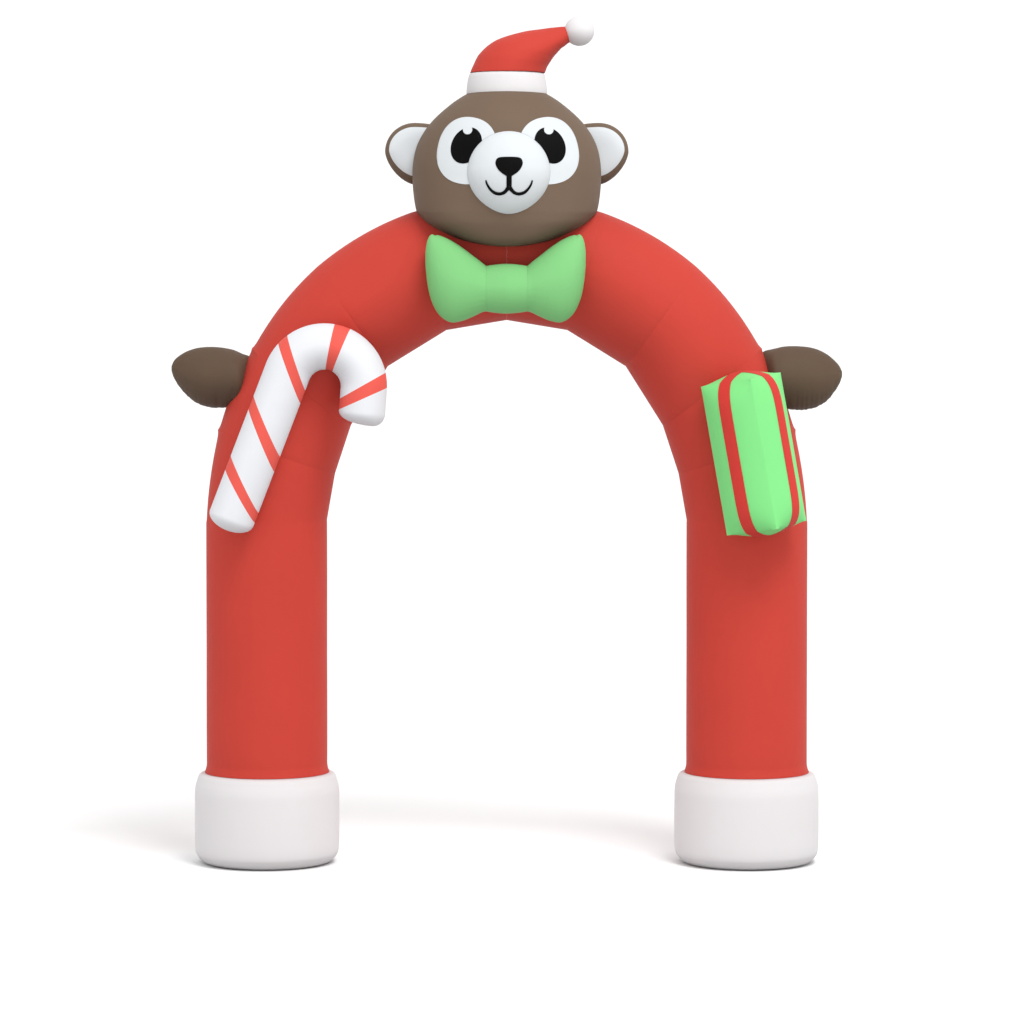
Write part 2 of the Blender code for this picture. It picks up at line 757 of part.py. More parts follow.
def cane_path():
    """Points along the cane with the share of its radius at each, from the shaft's round end."""
    upward = Vector((math.sin(CANE_LEAN), math.cos(CANE_LEAN)))
    downward = Vector((math.sin(CANE_BEND_END), -math.cos(CANE_BEND_END)))
    start_angle = math.pi - CANE_LEAN
    bend = []
    for step in range(CANE_BEND_STEPS + 1):
        angle = start_angle + (CANE_BEND_END - start_angle) * step / CANE_BEND_STEPS
        outward = Vector((math.cos(angle), math.sin(angle)))
        bend.append(Vector(CANE_BEND_CENTRE) + CANE_BEND_RADIUS * outward)
    rows = round_end(bend[0] - upward * CANE_SHAFT, upward)
    rows += [(point, 1.0) for point in bend]
    rows += reversed(round_end(bend[-1] + downward * CANE_TAIL, -downward))
    return rows


def make_cane(tube_clearance):
    curve = bpy.data.curves.new("cane", "CURVE")
    curve.dimensions = "3D"
    curve.bevel_depth = CANE_RADIUS
    curve.bevel_resolution = CANE_ROUNDNESS
    curve.use_fill_caps = True
    rows = cane_path()
    spline = curve.splines.new("POLY")
    spline.points.add(len(rows) - 1)
    for node, (point, share) in zip(spline.points, rows):
        node.co = (point.x, CANE_FORWARD, point.y, 1.0)
        node.radius = share
    cane = as_mesh(bpy.data.objects.new("candy_cane", curve), "candy_cane", "cane_white")
    combine(cane, "DIFFERENCE", tube_clearance)


# Gift
def gift_pose():
    """The box stands turned and leaning, with its front edge at GIFT_FRONT."""
    front_edge = GIFT_SIDE / math.sqrt(2) * math.cos(math.pi / 4 - abs(GIFT_TURN))
    pose = Matrix.Translation((GIFT_X, GIFT_FRONT + front_edge, GIFT_Z))
    return pose @ Matrix.Rotation(GIFT_LEAN, 4, "Y") @ Matrix.Rotation(GIFT_TURN, 4, "Z")


def gift_grid():
    """A cube from -1 to 1, with even cells on its faces."""
    shape = bmesh.new()
    bmesh.ops.create_cube(shape, size=2.0)
    bmesh.ops.subdivide_edges(shape, edges=shape.edges, cuts=GIFT_CELLS - 1, use_grid_fill=True)
    return shape


def spread(value, levels):
    """Move an even grid line to its place in a table of levels from the middle to the edge."""
    level = round(abs(value) * (len(levels) - 1))
    return math.copysign(levels[level], value) if level else 0.0


def swell_gift(shape):
    """Turn the cube into the cloth box, whose faces swell between sharp edges."""
    for vertex in shape.verts:
        u, v, w = vertex.co
        u, v, w = spread(u, GIFT_ACROSS), spread(v, GIFT_ACROSS), spread(w, GIFT_ALONG)
        swell = GIFT_BULGE * (1 - w ** 4)
        x = u * GIFT_SIDE / 2
        y = v * GIFT_SIDE / 2
        z = w * GIFT_LENGTH / 2
        if abs(u) == 1:
            x += u * swell * (1 - v * v)
        if abs(v) == 1:
            y += v * swell * (1 - u * u)
        if abs(w) == 1:
            z += w * GIFT_END_BULGE * (1 - u * u) * (1 - v * v)
        vertex.co = (x, y, z)


def make_gift(tube_clearance):
    shape = gift_grid()
    swell_gift(shape)
    gift = bpy.data.objects.new("gift_box", mesh_from("gift_box", shape))
    gift.data.transform(gift_pose())
    place(gift, "gift_green")
    combine(gift, "DIFFERENCE", tube_clearance)


def make_gift_ribbon(tube_clearance):
    """A ribbon down the middle of the box's long faces, which crosses itself at both ends."""
    shape = gift_grid()
    cell = 2 / GIFT_CELLS
    spare = []
    for face in shape.faces:
        middle = face.calc_center_median()
        if min(abs(middle.x), abs(middle.y)) > cell:
            spare.append(face)
    swell_gift(shape)
    push_out(shape, GAP)
    bmesh.ops.delete(shape, geom=spare, context="FACES")
    mesh = bpy.data.meshes.new("gift_ribbon")
    shape.to_mesh(mesh)
    shape.free()
    mesh.transform(gift_pose())
    ribbon = bpy.data.objects.new("gift_ribbon", mesh)
    thicken = ribbon.modifiers.new("thicken", "SOLIDIFY")
    thicken.thickness = RIBBON_THICKNESS
    thicken.offset = 1.0
    thicken.use_even_offset = True
    place(ribbon, "ribbon_red")
    combine(ribbon, "DIFFERENCE", tube_clearance)


def main():
    tube_clearance = make_arch()
    head = make_head(tube_clearance)
    head_clearance = grown(head, GAP, "head_clearance")
    muzzle = make_muzzle(head_clearance)
    muzzle_clearance = grown(muzzle, GAP, "muzzle_clearance")
    make_nose_and_mouth(muzzle)
    for side, word in SIDES:
        make_eye(side, word, head, muzzle_clearance)
        make_ear(side, word, head_clearance)
    make_hat(head_clearance)
    make_bow(tube_clearance)
    make_arms(tube_clearance)
    make_cane(tube_clearance)
    make_gift(tube_clearance)
    make_gift_ribbon(tube_clearance)


main()
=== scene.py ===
"""The inflatable arch as it looks: sewn and inflated cloth chambers, each finer than its plain solid."""
import math

import bmesh
import bpy
from mathutils import Matrix, Vector, noise


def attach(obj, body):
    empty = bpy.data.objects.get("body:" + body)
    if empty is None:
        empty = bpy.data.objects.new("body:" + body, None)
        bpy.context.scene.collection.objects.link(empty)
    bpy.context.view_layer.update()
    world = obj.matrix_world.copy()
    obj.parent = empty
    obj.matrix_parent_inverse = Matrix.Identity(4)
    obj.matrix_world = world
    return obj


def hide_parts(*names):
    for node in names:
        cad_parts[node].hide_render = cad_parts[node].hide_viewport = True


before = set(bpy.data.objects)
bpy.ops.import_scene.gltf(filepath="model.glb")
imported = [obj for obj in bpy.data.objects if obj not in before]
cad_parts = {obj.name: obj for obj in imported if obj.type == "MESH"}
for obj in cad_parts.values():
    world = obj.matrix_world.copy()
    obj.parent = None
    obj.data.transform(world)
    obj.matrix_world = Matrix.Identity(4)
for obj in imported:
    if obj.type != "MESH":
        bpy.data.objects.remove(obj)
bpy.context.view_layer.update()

# Everything is drawn about the arch's middle plane, which lies this far behind the origin
ARCH_BACK = 0.10
CLEAR = 0.0006
CLOTH = 0.0016
SIDES = ((-1, "left"), (1, "right"))

# Arch tube
ARCH_CENTRE_Z = 1.63
TUBE_RADIUS = 0.272
TUBE_SIDES = 176
CLEARANCE_SIDES = 128
PANEL_STEPS = 48
LEG_STEPS = 140
SEAM_SET_BACK = 0.00005
SEAM_PINCH = 0.0020
SEAM_REACH = 0.007
RIPPLE_DEPTH = 0.0016
RIPPLE_REACH = 0.035
NUB_SEAMS = (3, 4)
NUB_HEIGHT = 0.0075
NUB_REACH = 0.014
SEAMS = (
    # inner angle from the crown, inner radius, outer angle, outer radius
    (0.0, 0.811, 0.0, 1.356),
    (19.5, 0.8125, 18.5, 1.364),
    (41.5, 0.806, 39.0, 1.353),
    (64.2, 0.778, 59.1, 1.328),
    (81.0, 0.7815, 76.2, 1.330),
    (96.35, 0.814, 93.8, 1.353),
)
LEG_BEND_SHARE = 0.20
LEG_BOTTOM = 0.4078
HEM_FLARE = 0.010
HEM_HEIGHT = 0.045

# Feet
FOOT_X = 1.08
FOOT_PROFILE = (
    # radius, height, from the top down
    (0.262, 0.4068),
    (0.282, 0.4062),
    (0.2985, 0.4030),
    (0.309, 0.3930),
    (0.3165, 0.3700),
    (0.322, 0.3500),
    (0.3248, 0.3250),
    (0.3255, 0.2800),
    (0.3258, 0.2100),
    (0.3255, 0.1300),
    (0.3248, 0.0850),
    (0.3225, 0.0550),
    (0.3165, 0.0375),
    (0.302, 0.0180),
    (0.287, 0.0072),
    (0.266, 0.0015),
    (0.240, 0.0000),
)

# Head
HEAD_FORWARD = -0.06
HEAD_SECTIONS = (
    # height, half width, half depth, squareness
    (2.7675, 0.035, 0.285, 4.0),
    (2.775, 0.112, 0.312, 3.6),
    (2.802, 0.226, 0.345, 3.2),
    (2.858, 0.338, 0.371, 2.8),
    (2.905, 0.388, 0.380, 2.5),
    (2.945, 0.408, 0.384, 2.3),
    (3.050, 0.421, 0.385, 2.15),
    (3.150, 0.418, 0.380, 2.1),
    (3.239, 0.394, 0.365, 2.0),
    (3.325, 0.338, 0.325, 2.0),
    (3.405, 0.250, 0.250, 2.0),
    (3.455, 0.172, 0.178, 2.0),
    (3.490, 0.090, 0.095, 2.0),
    (3.500, 0.030, 0.032, 2.0),
)
HEAD_SIDES = 160
HEAD_STEPS = 110

# Muzzle
MUZZLE_CENTRE = (0.008, 3.089)
MUZZLE_RADIUS = 0.1845
MUZZLE_ROOT_Y = -0.39
MUZZLE_ROOT_LENGTH = 0.07
MUZZLE_HEIGHT = 0.13
MUZZLE_DROOP = 0.07

# Eyes and their pale patches. The left ones are mirrored, but the whole face is sewn on a little to the right
PATCH_CENTRE = (0.181, 3.187)
PATCH_ASIDE = 0.005
PATCH_RADII = (0.1295, 0.149)
PATCH_TILT = math.radians(12.8)
PATCH_POWER = 2.25
EYE_CENTRE = (0.1838, 3.2085)
EYE_ASIDE = 0.0062
EYE_RADII = (0.065, 0.0837)
EYE_TILT = math.radians(27)
GLINT_OFFSET = (-0.0055, 0.070)
GLINT_RADIUS = 0.021

# Nose and mouth on the muzzle, measured from the middle of the lip
LIP_X = 0.010
LIP_BAR_HALF_WIDTH = 0.0115
LIP_BAR_BOTTOM = 3.024
NOSE_SIDE = (
    # x and height down the right side, to where the lip bar starts
    (0.0300, 3.1535),
    (0.0520, 3.1470),
    (0.0595, 3.1300),
    (0.0555, 3.1120),
    (0.0440, 3.0940),
    (0.0260, 3.0790),
    (0.0115, 3.0700),
)
MOUTH_NOTCH = 3.008
MOUTH_LINE = (
    # x, height and width of the right stroke, from the lip bar to its tip
    (0.0000, 3.0231, 0.0155),
    (0.0152, 3.0044, 0.0150),
    (0.0281, 2.9955, 0.0140),
    (0.0440, 2.9927, 0.0135),
    (0.0632, 2.9974, 0.0130),
    (0.0772, 3.0079, 0.0115),
    (0.0889, 3.0220, 0.0100),
    (0.0971, 3.0372, 0.0085),
    (0.1013, 3.0524, 0.0060),
)

# Ears: an outline that is round above, drawn in below, and runs on into the head
EAR_X = 0.4135
EAR_INNER_REACH = 0.24
EAR_LOW_POWER = 1.6
EAR_OUTLINE = (3.197, 0.133, 0.1292, 0.1475)
EAR_PANEL_OUTLINE = (3.203, 0.1135, 0.1025, 0.1175)
EAR_BACK = 0.005
EAR_HALF_DEPTH = 0.055

# Hat
BAND_PROFILE = (
    # radius, height, from the top down
    (0.156, 3.5455),
    (0.167, 3.540),
    (0.174, 3.516),
    (0.180, 3.470),
    (0.178, 3.440),
    (0.160, 3.405),
)
CONE_SECTIONS = (
    # middle x and height, half of the chord across the bend, its slope in degrees, half depth
    (0.003, 3.546, 0.168, 0, 0.168),
    (0.016, 3.5775, 0.164, -2.6, 0.164),
    (0.037, 3.613, 0.158, -7.6, 0.158),
    (0.082, 3.656, 0.137, -14.3, 0.139),
    (0.155, 3.690, 0.094, -24.1, 0.098),
    (0.204, 3.703, 0.066, -35.1, 0.070),
    (0.2435, 3.713, 0.046, -51.8, 0.049),
    (0.266, 3.7166, 0.038, -69.8, 0.040),
    (0.284, 3.722, 0.031, -74, 0.032),
)
POMPOM_CENTRE = (0.324, 3.733)
POMPOM_RADIUS = 0.067

# Bow tie
BOW_FORWARD = -0.335
KNOT_Z = 2.581
KNOT_SECTIONS = (
    # x, half height, half depth
    (-0.0900, 0.1000, 0.0820),
    (-0.0780, 0.1025, 0.0828),
    (-0.0600, 0.1050, 0.0860),
    (-0.0300, 0.1085, 0.0915),
    (0.0000, 0.1095, 0.0945),
    (0.0300, 0.1085, 0.0915),
    (0.0600, 0.1050, 0.0860),
    (0.0780, 0.1025, 0.0828),
    (0.0900, 0.1000, 0.0820),
)
LOBE_REACH = {"left": 1.0, "right": 0.96}
LOBE_START = 0.0904
LOBE_SECTIONS = (
    # distance out from the knot, top, bottom, half depth
    (0.0000, 2.681, 2.481, 0.0820),
    (0.0216, 2.699, 2.475, 0.0845),
    (0.0596, 2.728, 2.457, 0.0930),
    (0.1096, 2.765, 2.438, 0.101),
    (0.1596, 2.796, 2.434, 0.100),
    (0.2076, 2.8155, 2.466, 0.086),
    (0.2416, 2.819, 2.528, 0.060),
    (0.2596, 2.792, 2.605, 0.032),
    (0.2676, 2.745, 2.680, 0.010),
)
# A small dip in each top corner: its distance out, depth and reach
LOBE_DIP = (0.2259, 0.0050, 0.0075)

# Arms
ARM_SECTIONS = {
    # distance from the middle, middle height, half height, half depth
    "left": (
        (1.130, 2.170, 0.085, 0.060),
        (1.157, 2.172, 0.107, 0.095),
        (1.187, 2.171, 0.119, 0.150),
        (1.220, 2.178, 0.127, 0.160),
        (1.242, 2.1805, 0.131, 0.157),
        (1.283, 2.182, 0.1366, 0.145),
        (1.324, 2.184, 0.1373, 0.138),
        (1.365, 2.188, 0.132, 0.128),
        (1.403, 2.1935, 0.120, 0.112),
        (1.447, 2.2035, 0.0935, 0.085),
        (1.489, 2.2165, 0.051, 0.046),
        (1.506, 2.223, 0.014, 0.012),
    ),
    "right": (
        (1.130, 2.190, 0.090, 0.060),
        (1.157, 2.1895, 0.1125, 0.095),
        (1.187, 2.187, 0.123, 0.150),
        (1.214, 2.185, 0.131, 0.160),
        (1.242, 2.184, 0.1385, 0.158),
        (1.283, 2.1815, 0.1435, 0.149),
        (1.324, 2.1794, 0.1442, 0.141),
        (1.365, 2.1795, 0.139, 0.130),
        (1.403, 2.1805, 0.1265, 0.114),
        (1.447, 2.1833, 0.0993, 0.087),
        (1.489, 2.1925, 0.0505, 0.046),
        (1.506, 2.1975, 0.014, 0.012),
    ),
}

# Cane
CANE_FORWARD = -0.335
CANE_RADIUS = 0.1023
CANE_LEAN = math.radians(21)
CANE_BEND_CENTRE = (-0.8035, 2.1527)
CANE_BEND_RADIUS = 0.1736
CANE_SHAFT = 0.7488
CANE_BEND_END = math.radians(-4)
CANE_TAIL = 0.1624
CANE_END_DEPTH = 0.060
CANE_END_SKEW = 0.050
CANE_SIDES = 112
CANE_STRIPES = (
    # where each stripe starts and ends along the axis: outer side, then inner side
    (0.2486, 0.3156, 0.0756, 0.1226),
    (0.5346, 0.5976, 0.3166, 0.3886),
    (0.8149, 0.8485, 0.6396, 0.7006),
    (0.9871, 1.0321, 0.9715, 1.0488),
    (1.1936, 1.2359, 1.2932, 1.3408),
)

# Gift: its front edge sets how far forward the whole object reaches
GIFT_X = 1.088
GIFT_FRONT = -0.525
GIFT_Z = 1.854
GIFT_SIDE = 0.258
GIFT_LENGTH = 0.665
GIFT_TURN = math.radians(-35)
GIFT_LEAN = math.radians(-10)
GIFT_BULGE = 0.043
GIFT_END_BULGE = 0.034
GIFT_CELLS = 60
RIBBON_CELLS = 14
RIBBON_SHARE = 0.233


# Small helpers
def link(item):
    bpy.context.scene.collection.objects.link(item)
    return item


def drop(*items):
    for item in items:
        bpy.data.objects.remove(item, do_unlink=True)


def smooth_row(rows, share):
    """A table read at a share from 0 to 1, on a smooth curve through its rows."""
    place = min(max(share, 0.0), 1.0) * (len(rows) - 1)
    first = min(int(place), len(rows) - 2)
    t = place - first
    before = rows[max(first - 1, 0)]
    here = rows[first]
    after = rows[first + 1]
    beyond = rows[min(first + 2, len(rows) - 1)]
    values = []
    for a, b, c, d in zip(before, here, after, beyond):
        values.append(b + 0.5 * t * (c - a + t * (2 * a - 5 * b + 4 * c - d + t * (3 * (b - c) + d - a))))
    return values


def eased(step, steps):
    """A share from 0 to 1 that moves slowly at both ends, so that sections crowd at the seams."""
    return 0.5 - 0.5 * math.cos(math.pi * step / steps)


def turns(count):
    """Even angles around a full circle."""
    return [2 * math.pi * step / count for step in range(count)]


def signed_power(value, power):
    return math.copysign(abs(value) ** power, value)


def ring(centre, first, second, count, power=2.0):
    """One closed section about its centre, from two half axes. Power 2 is an ellipse."""
    points = []
    for angle in turns(count):
        along = signed_power(math.cos(angle), 2 / power)
        across = signed_power(math.sin(angle), 2 / power)
        points.append(Vector(centre) + along * Vector(first) + across * Vector(second))
    return points


def object_from(name, shape):
    """An object from a bmesh drawn about the arch plane, moved to its real place."""
    bmesh.ops.recalc_face_normals(shape, faces=shape.faces)
    mesh = bpy.data.meshes.new(name)
    shape.to_mesh(mesh)
    shape.free()
    mesh.transform(Matrix.Translation((0.0, ARCH_BACK, 0.0)))
    return link(bpy.data.objects.new(name, mesh))


def loft(name, rings):
    shape = bmesh.new()
    loops = [[shape.verts.new(point) for point in points] for points in rings]
    for lower, upper in zip(loops, loops[1:]):
        for step in range(len(lower)):
            after = (step + 1) % len(lower)
            shape.faces.new((lower[step], lower[after], upper[after], upper[step]))
    close_end(shape, loops[0])
    close_end(shape, loops[-1])
    return object_from(name, shape)


def close_end(shape, loop):
    """A fan of triangles about the middle of an end loop."""
    middle = shape.verts.new(sum((vertex.co for vertex in loop), Vector()) / len(loop))
    for step in range(len(loop)):
        shape.faces.new((loop[step], loop[(step + 1) % len(loop)], middle))


def grown(source, distance):
    shape = bmesh.new()
    shape.from_mesh(source.data)
    shape.normal_update()
    moves = [vertex.normal * distance for vertex in shape.verts]
    for vertex, move in zip(shape.verts, moves):
        vertex.co += move
    mesh = bpy.data.meshes.new(source.name + "_grown")
    shape.to_mesh(mesh)
    shape.free()
    return link(bpy.data.objects.new(source.name + "_grown", mesh))


def carve(item, *cutters):
    """Cut other objects out of an object, and keep the result as its mesh."""
    for cutter in cutters:
        modifier = item.modifiers.new("cut", "BOOLEAN")
        modifier.operation = "DIFFERENCE"
        modifier.solver = "EXACT"
        modifier.object = cutter
    bpy.context.view_layer.update()
    mesh = bpy.data.meshes.new_from_object(item.evaluated_get(bpy.context.evaluated_depsgraph_get()))
    item.modifiers.clear()
    item.data = mesh
    return item


def ridged(place, seed):
    """Uneven folds from 0 to 1 along a line of places."""
    value = noise.noise(Vector((place, seed * 7.31, 0.0)))
    finer = noise.noise(Vector((place * 2.3, seed * 3.17, 4.0)))
    return min(1.0, abs(value) * 1.7 + abs(finer) * 0.7)


def slack(point, depth=0.0014):
    """The slow unevenness of inflated cloth, inwards only."""
    return depth * (0.5 + 0.5 * noise.noise(point * 2.6))


# Materials
# Painted shade: cloth that faces down is drawn darker, standing in for the shade under light from above
FACING_DOWN_PAINTED_SHADE = 0.60


def fabric(name, colour, roughness=0.60, variation=0.03, wrinkle=0.28):
    """Coated woven polyester: a fine weave, faint wrinkles, and painted shade that darkens the colour where
    it faces down.
    """
    material = bpy.data.materials.new(name)
    material.use_nodes = True
    nodes = material.node_tree.nodes
    links = material.node_tree.links
    shader = nodes["Principled BSDF"]
    shader.inputs["Sheen Weight"].default_value = 0.01
    shader.inputs["Sheen Roughness"].default_value = 0.45
    shader.inputs["Specular IOR Level"].default_value = 0.08
    place = nodes.new("ShaderNodeTexCoord")

    tone = nodes.new("ShaderNodeTexNoise")
    tone.inputs["Scale"].default_value = 3.2
    tone.inputs["Detail"].default_value = 4.0
    links.new(place.outputs["Object"], tone.inputs["Vector"])
    ramp = nodes.new("ShaderNodeValToRGB")
    ramp.color_ramp.elements[0].position = 0.25
    ramp.color_ramp.elements[1].position = 0.75
    ramp.color_ramp.elements[0].color = (*(channel * (1 - variation) for channel in colour), 1)
    ramp.color_ramp.elements[1].color = (*(min(channel * (1 + variation), 1) for channel in colour), 1)
    links.new(tone.outputs["Fac"], ramp.inputs["Fac"])
    # Painted shade: the colour is scaled down towards the set share as the normal turns to face down
    facing = nodes.new("ShaderNodeNewGeometry")
    upward = nodes.new("ShaderNodeSeparateXYZ")
    links.new(facing.outputs["Normal"], upward.inputs["Vector"])
    depth = nodes.new("ShaderNodeMapRange")
    depth.inputs["From Min"].default_value = -1.0
    depth.inputs["From Max"].default_value = 0.1
    depth.inputs["To Min"].default_value = FACING_DOWN_PAINTED_SHADE
    links.new(upward.outputs["Z"], depth.inputs["Value"])
    shade = nodes.new("ShaderNodeVectorMath")
    shade.operation = "SCALE"
    links.new(ramp.outputs["Color"], shade.inputs["Vector"])
    links.new(depth.outputs["Result"], shade.inputs["Scale"])
    links.new(shade.outputs["Vector"], shader.inputs["Base Color"])

    sheen = nodes.new("ShaderNodeMapRange")
    sheen.inputs["To Min"].default_value = roughness - 0.06
    sheen.inputs["To Max"].default_value = roughness + 0.06
    links.new(tone.outputs["Fac"], sheen.inputs["Value"])
    links.new(sheen.outputs["Result"], shader.inputs["Roughness"])

    threads = []
    for direction in ("X", "Z"):
        wave = nodes.new("ShaderNodeTexWave")
        wave.wave_type = "BANDS"
        wave.bands_direction = direction
        wave.inputs["Scale"].default_value = 260.0
        wave.inputs["Distortion"].default_value = 0.6
        wave.inputs["Detail"].default_value = 1.0
        links.new(place.outputs["Object"], wave.inputs["Vector"])
        threads.append(wave)
    weave = nodes.new("ShaderNodeMath")
    weave.operation = "MAXIMUM"
    links.new(threads[0].outputs["Fac"], weave.inputs[0])
    links.new(threads[1].outputs["Fac"], weave.inputs[1])

    crumple = nodes.new("ShaderNodeTexNoise")
    crumple.inputs["Scale"].default_value = 9.0
    crumple.inputs["Detail"].default_value = 3.0
    crumple.inputs["Roughness"].default_value = 0.45
    links.new(place.outputs["Object"], crumple.inputs["Vector"])

    coarse = nodes.new("ShaderNodeBump")
    coarse.inputs["Strength"].default_value = wrinkle
    coarse.inputs["Distance"].default_value = 0.006
    links.new(crumple.outputs["Fac"], coarse.inputs["Height"])
    fine = nodes.new("ShaderNodeBump")
    fine.inputs["Strength"].default_value = 0.25
    fine.inputs["Distance"].default_value = 0.0004
    links.new(weave.outputs["Value"], fine.inputs["Height"])
    links.new(coarse.outputs["Normal"], fine.inputs["Normal"])
    links.new(fine.outputs["Normal"], shader.inputs["Normal"])
    return material


MATERIALS = {
    "arch_red": fabric("arch_red_cloth", (0.505, 0.051, 0.036)),
    "foot_white": fabric("foot_white_cloth", (0.680, 0.660, 0.667), variation=0.01),
    "head_brown": fabric("head_brown_cloth", (0.155, 0.107, 0.075)),
    "arm_brown": fabric("arm_brown_cloth", (0.106, 0.070, 0.047)),
    "panel_white": fabric("panel_white_cloth", (0.62, 0.65, 0.67), variation=0.01),
    "face_black": fabric("face_black_cloth", (0.001, 0.001, 0.001), wrinkle=0.1),
    "bow_green": fabric("bow_green_cloth", (0.200, 0.515, 0.192), variation=0.02),
    "gift_green": fabric("gift_green_cloth", (0.206, 0.675, 0.220), variation=0.02),
    "ribbon_red": fabric("ribbon_red_cloth", (0.570, 0.045, 0.036)),
    "cane_white": fabric("cane_white_cloth", (0.70, 0.71, 0.74), variation=0.01),
    "cane_stripe": fabric("cane_stripe_cloth", (0.730, 0.104, 0.080)),
}


def dress(item, node, slot, sharp=50):
    """Give a piece its cloth, let it ride with the object and stand for its node."""
    if not item.data.materials:
        item.data.materials.append(MATERIALS[slot])
    item.data.shade_smooth()
    item.data.set_sharp_from_angle(angle=math.radians(sharp))
    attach(item, "root")
    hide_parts(node)
    return item


def inflated(item, node, slot, sharp=50):
    dress(item, node, slot, sharp)
    return item


def flat_cloth(item, node, slot):
    """A thin panel, dressed like every other piece. A thin panel, declared with half of
    its closed mesh's area.
    """
    dress(item, node, slot)
    return item


# Arch tube
def polar(side, degrees, radius):
    """A point in the arch plane, by its angle from the crown and its distance from the arch's centre."""
    angle = math.radians(degrees)
    return Vector((side * radius * math.sin(angle), 0.0, ARCH_CENTRE_Z + radius * math.cos(angle)))


def seam_ends(spot, side):
    """The tube's inner and outer points at a seam number, or at a fraction between two."""
    first = min(int(spot), len(SEAMS) - 2)
    share = spot - first
    inner_a, in_radius_a, outer_a, out_radius_a = SEAMS[first]
    inner_b, in_radius_b, outer_b, out_radius_b = SEAMS[first + 1]
    inner = polar(side, inner_a, in_radius_a).lerp(polar(side, inner_b, in_radius_b), share)
    # The last bend first keeps to the arch's circle and then eases out into the straight leg
    widening = share ** 2 if first == len(SEAMS) - 2 else share
    outer_radius = out_radius_a + (out_radius_b - out_radius_a) * widening
    return inner, polar(side, outer_a + (outer_b - outer_a) * share, outer_radius)


def leg_ends(height, side):
    inner = Vector((side * (FOOT_X - TUBE_RADIUS), 0, height))
    outer = Vector((side * (FOOT_X + TUBE_RADIUS), 0, height))
    return inner, outer


def around_tube(inner, outer, angle):
    """A step from the tube's middle to its full round. Angle 0 is the outer line of the arch."""
    return (outer - inner) / 2 * math.cos(angle) + Vector((0.0, TUBE_RADIUS * math.sin(angle), 0.0))


def tube_ring(inner, outer, dips, shift=0.0):
    """A section of the tube, from how far each of its points lies inside the full round."""
    reach = outer - inner
    centre = (inner + outer) / 2 + Vector((-reach.z, 0.0, reach.x)).normalized() * shift
    points = []
    for angle, dip in zip(turns(len(dips)), dips):
        points.append(centre + around_tube(inner, outer, angle) * (1 - dip / TUBE_RADIUS))
    return points


def seam_dip(seam, distance, angle, side):
    """How far cloth is drawn in near a seam. Two seams stand out on the outer line."""
    crease = SEAM_PINCH * math.exp(-distance / SEAM_REACH)
    gathers = RIPPLE_DEPTH * math.exp(-distance / RIPPLE_REACH) * ridged(angle * 7.5, seam * 2 + side)
    gathers *= 1 - math.exp(-distance / 0.004)
    nub = 0.0
    if seam in NUB_SEAMS:
        nub = NUB_HEIGHT * max(0.0, math.cos(angle)) ** 8 * math.exp(-distance / NUB_REACH)
    return (crease + gathers) * math.sin(angle) ** 2 - nub


def make_panel(number, side, name):
    """One mitred chamber between two seams."""
    inner_a, outer_a = seam_ends(number, side)
    inner_b, outer_b = seam_ends(number + 1, side)
    inner_length = (inner_b - inner_a).length
    outer_length = (outer_b - outer_a).length
    rings = []
    for step in range(PANEL_STEPS + 1):
        share = eased(step, PANEL_STEPS)
        inner, outer = seam_ends(number + min(share, 0.99999), side)
        dips = []
        for angle in turns(TUBE_SIDES):
            length = inner_length + (outer_length - inner_length) * (0.5 + 0.5 * math.cos(angle))
            dip = seam_dip(number, share * length, angle, side)
            dip += seam_dip(number + 1, (1 - share) * length, angle, side)
            dips.append(dip + slack((inner + outer) / 2 + around_tube(inner, outer, angle)))
        shift = -side * SEAM_SET_BACK * (1 if step == 0 else -1 if step == PANEL_STEPS else 0)
        rings.append(tube_ring(inner, outer, dips, shift))
    return loft(name, rings)


def make_leg(side, name):
    """The leg chamber: from the last seam through the bend, then straight down to the foot."""
    rings = []
    last = len(SEAMS) - 2
    seam_point = seam_ends(last, side)[0]
    top = seam_ends(last + 1, side)[0].z
    for step in range(LEG_STEPS + 1):
        share = eased(step, LEG_STEPS)
        if share < LEG_BEND_SHARE:
            inner, outer = seam_ends(last + share / LEG_BEND_SHARE, side)
        else:
            fall = (share - LEG_BEND_SHARE) / (1 - LEG_BEND_SHARE)
            inner, outer = leg_ends(top + (LEG_BOTTOM - top) * fall, side)
        middle = (inner + outer) / 2
        above_hem = max(middle.z - LEG_BOTTOM, 0.0)
        flare = HEM_FLARE * max(0.0, 1 - above_hem / HEM_HEIGHT) ** 2
        seam_gap = (seam_point - inner).length
        dips = []
        for angle in turns(TUBE_SIDES):
            dip = seam_dip(last, seam_gap * (1 + 0.5 * math.cos(angle)), angle, side)
            dip += 0.0016 * math.exp(-above_hem / 0.05) * ridged(angle * 9, 21 + side)
            dips.append(dip + slack(middle + around_tube(inner, outer, angle)) - flare)
        rings.append(tube_ring(inner, outer, dips, -side * SEAM_SET_BACK if step == 0 else 0.0))
    return loft(name, rings)


def make_tube_clearance():
    """The whole tube without its creases, grown a little, which cuts what is sewn on to it."""
    rings = []
    per_panel = 12
    dips = [-CLEAR] * CLEARANCE_SIDES
    for side, _ in SIDES:
        half = []
        for step in range((len(SEAMS) - 1) * per_panel + 1):
            half.append(tube_ring(*seam_ends(step / per_panel, side), dips))
        half.append(tube_ring(*leg_ends(1.0, side), dips))
        rings += half[::-1] if side < 0 else half[1:]
    return loft("tube_clearance", rings)


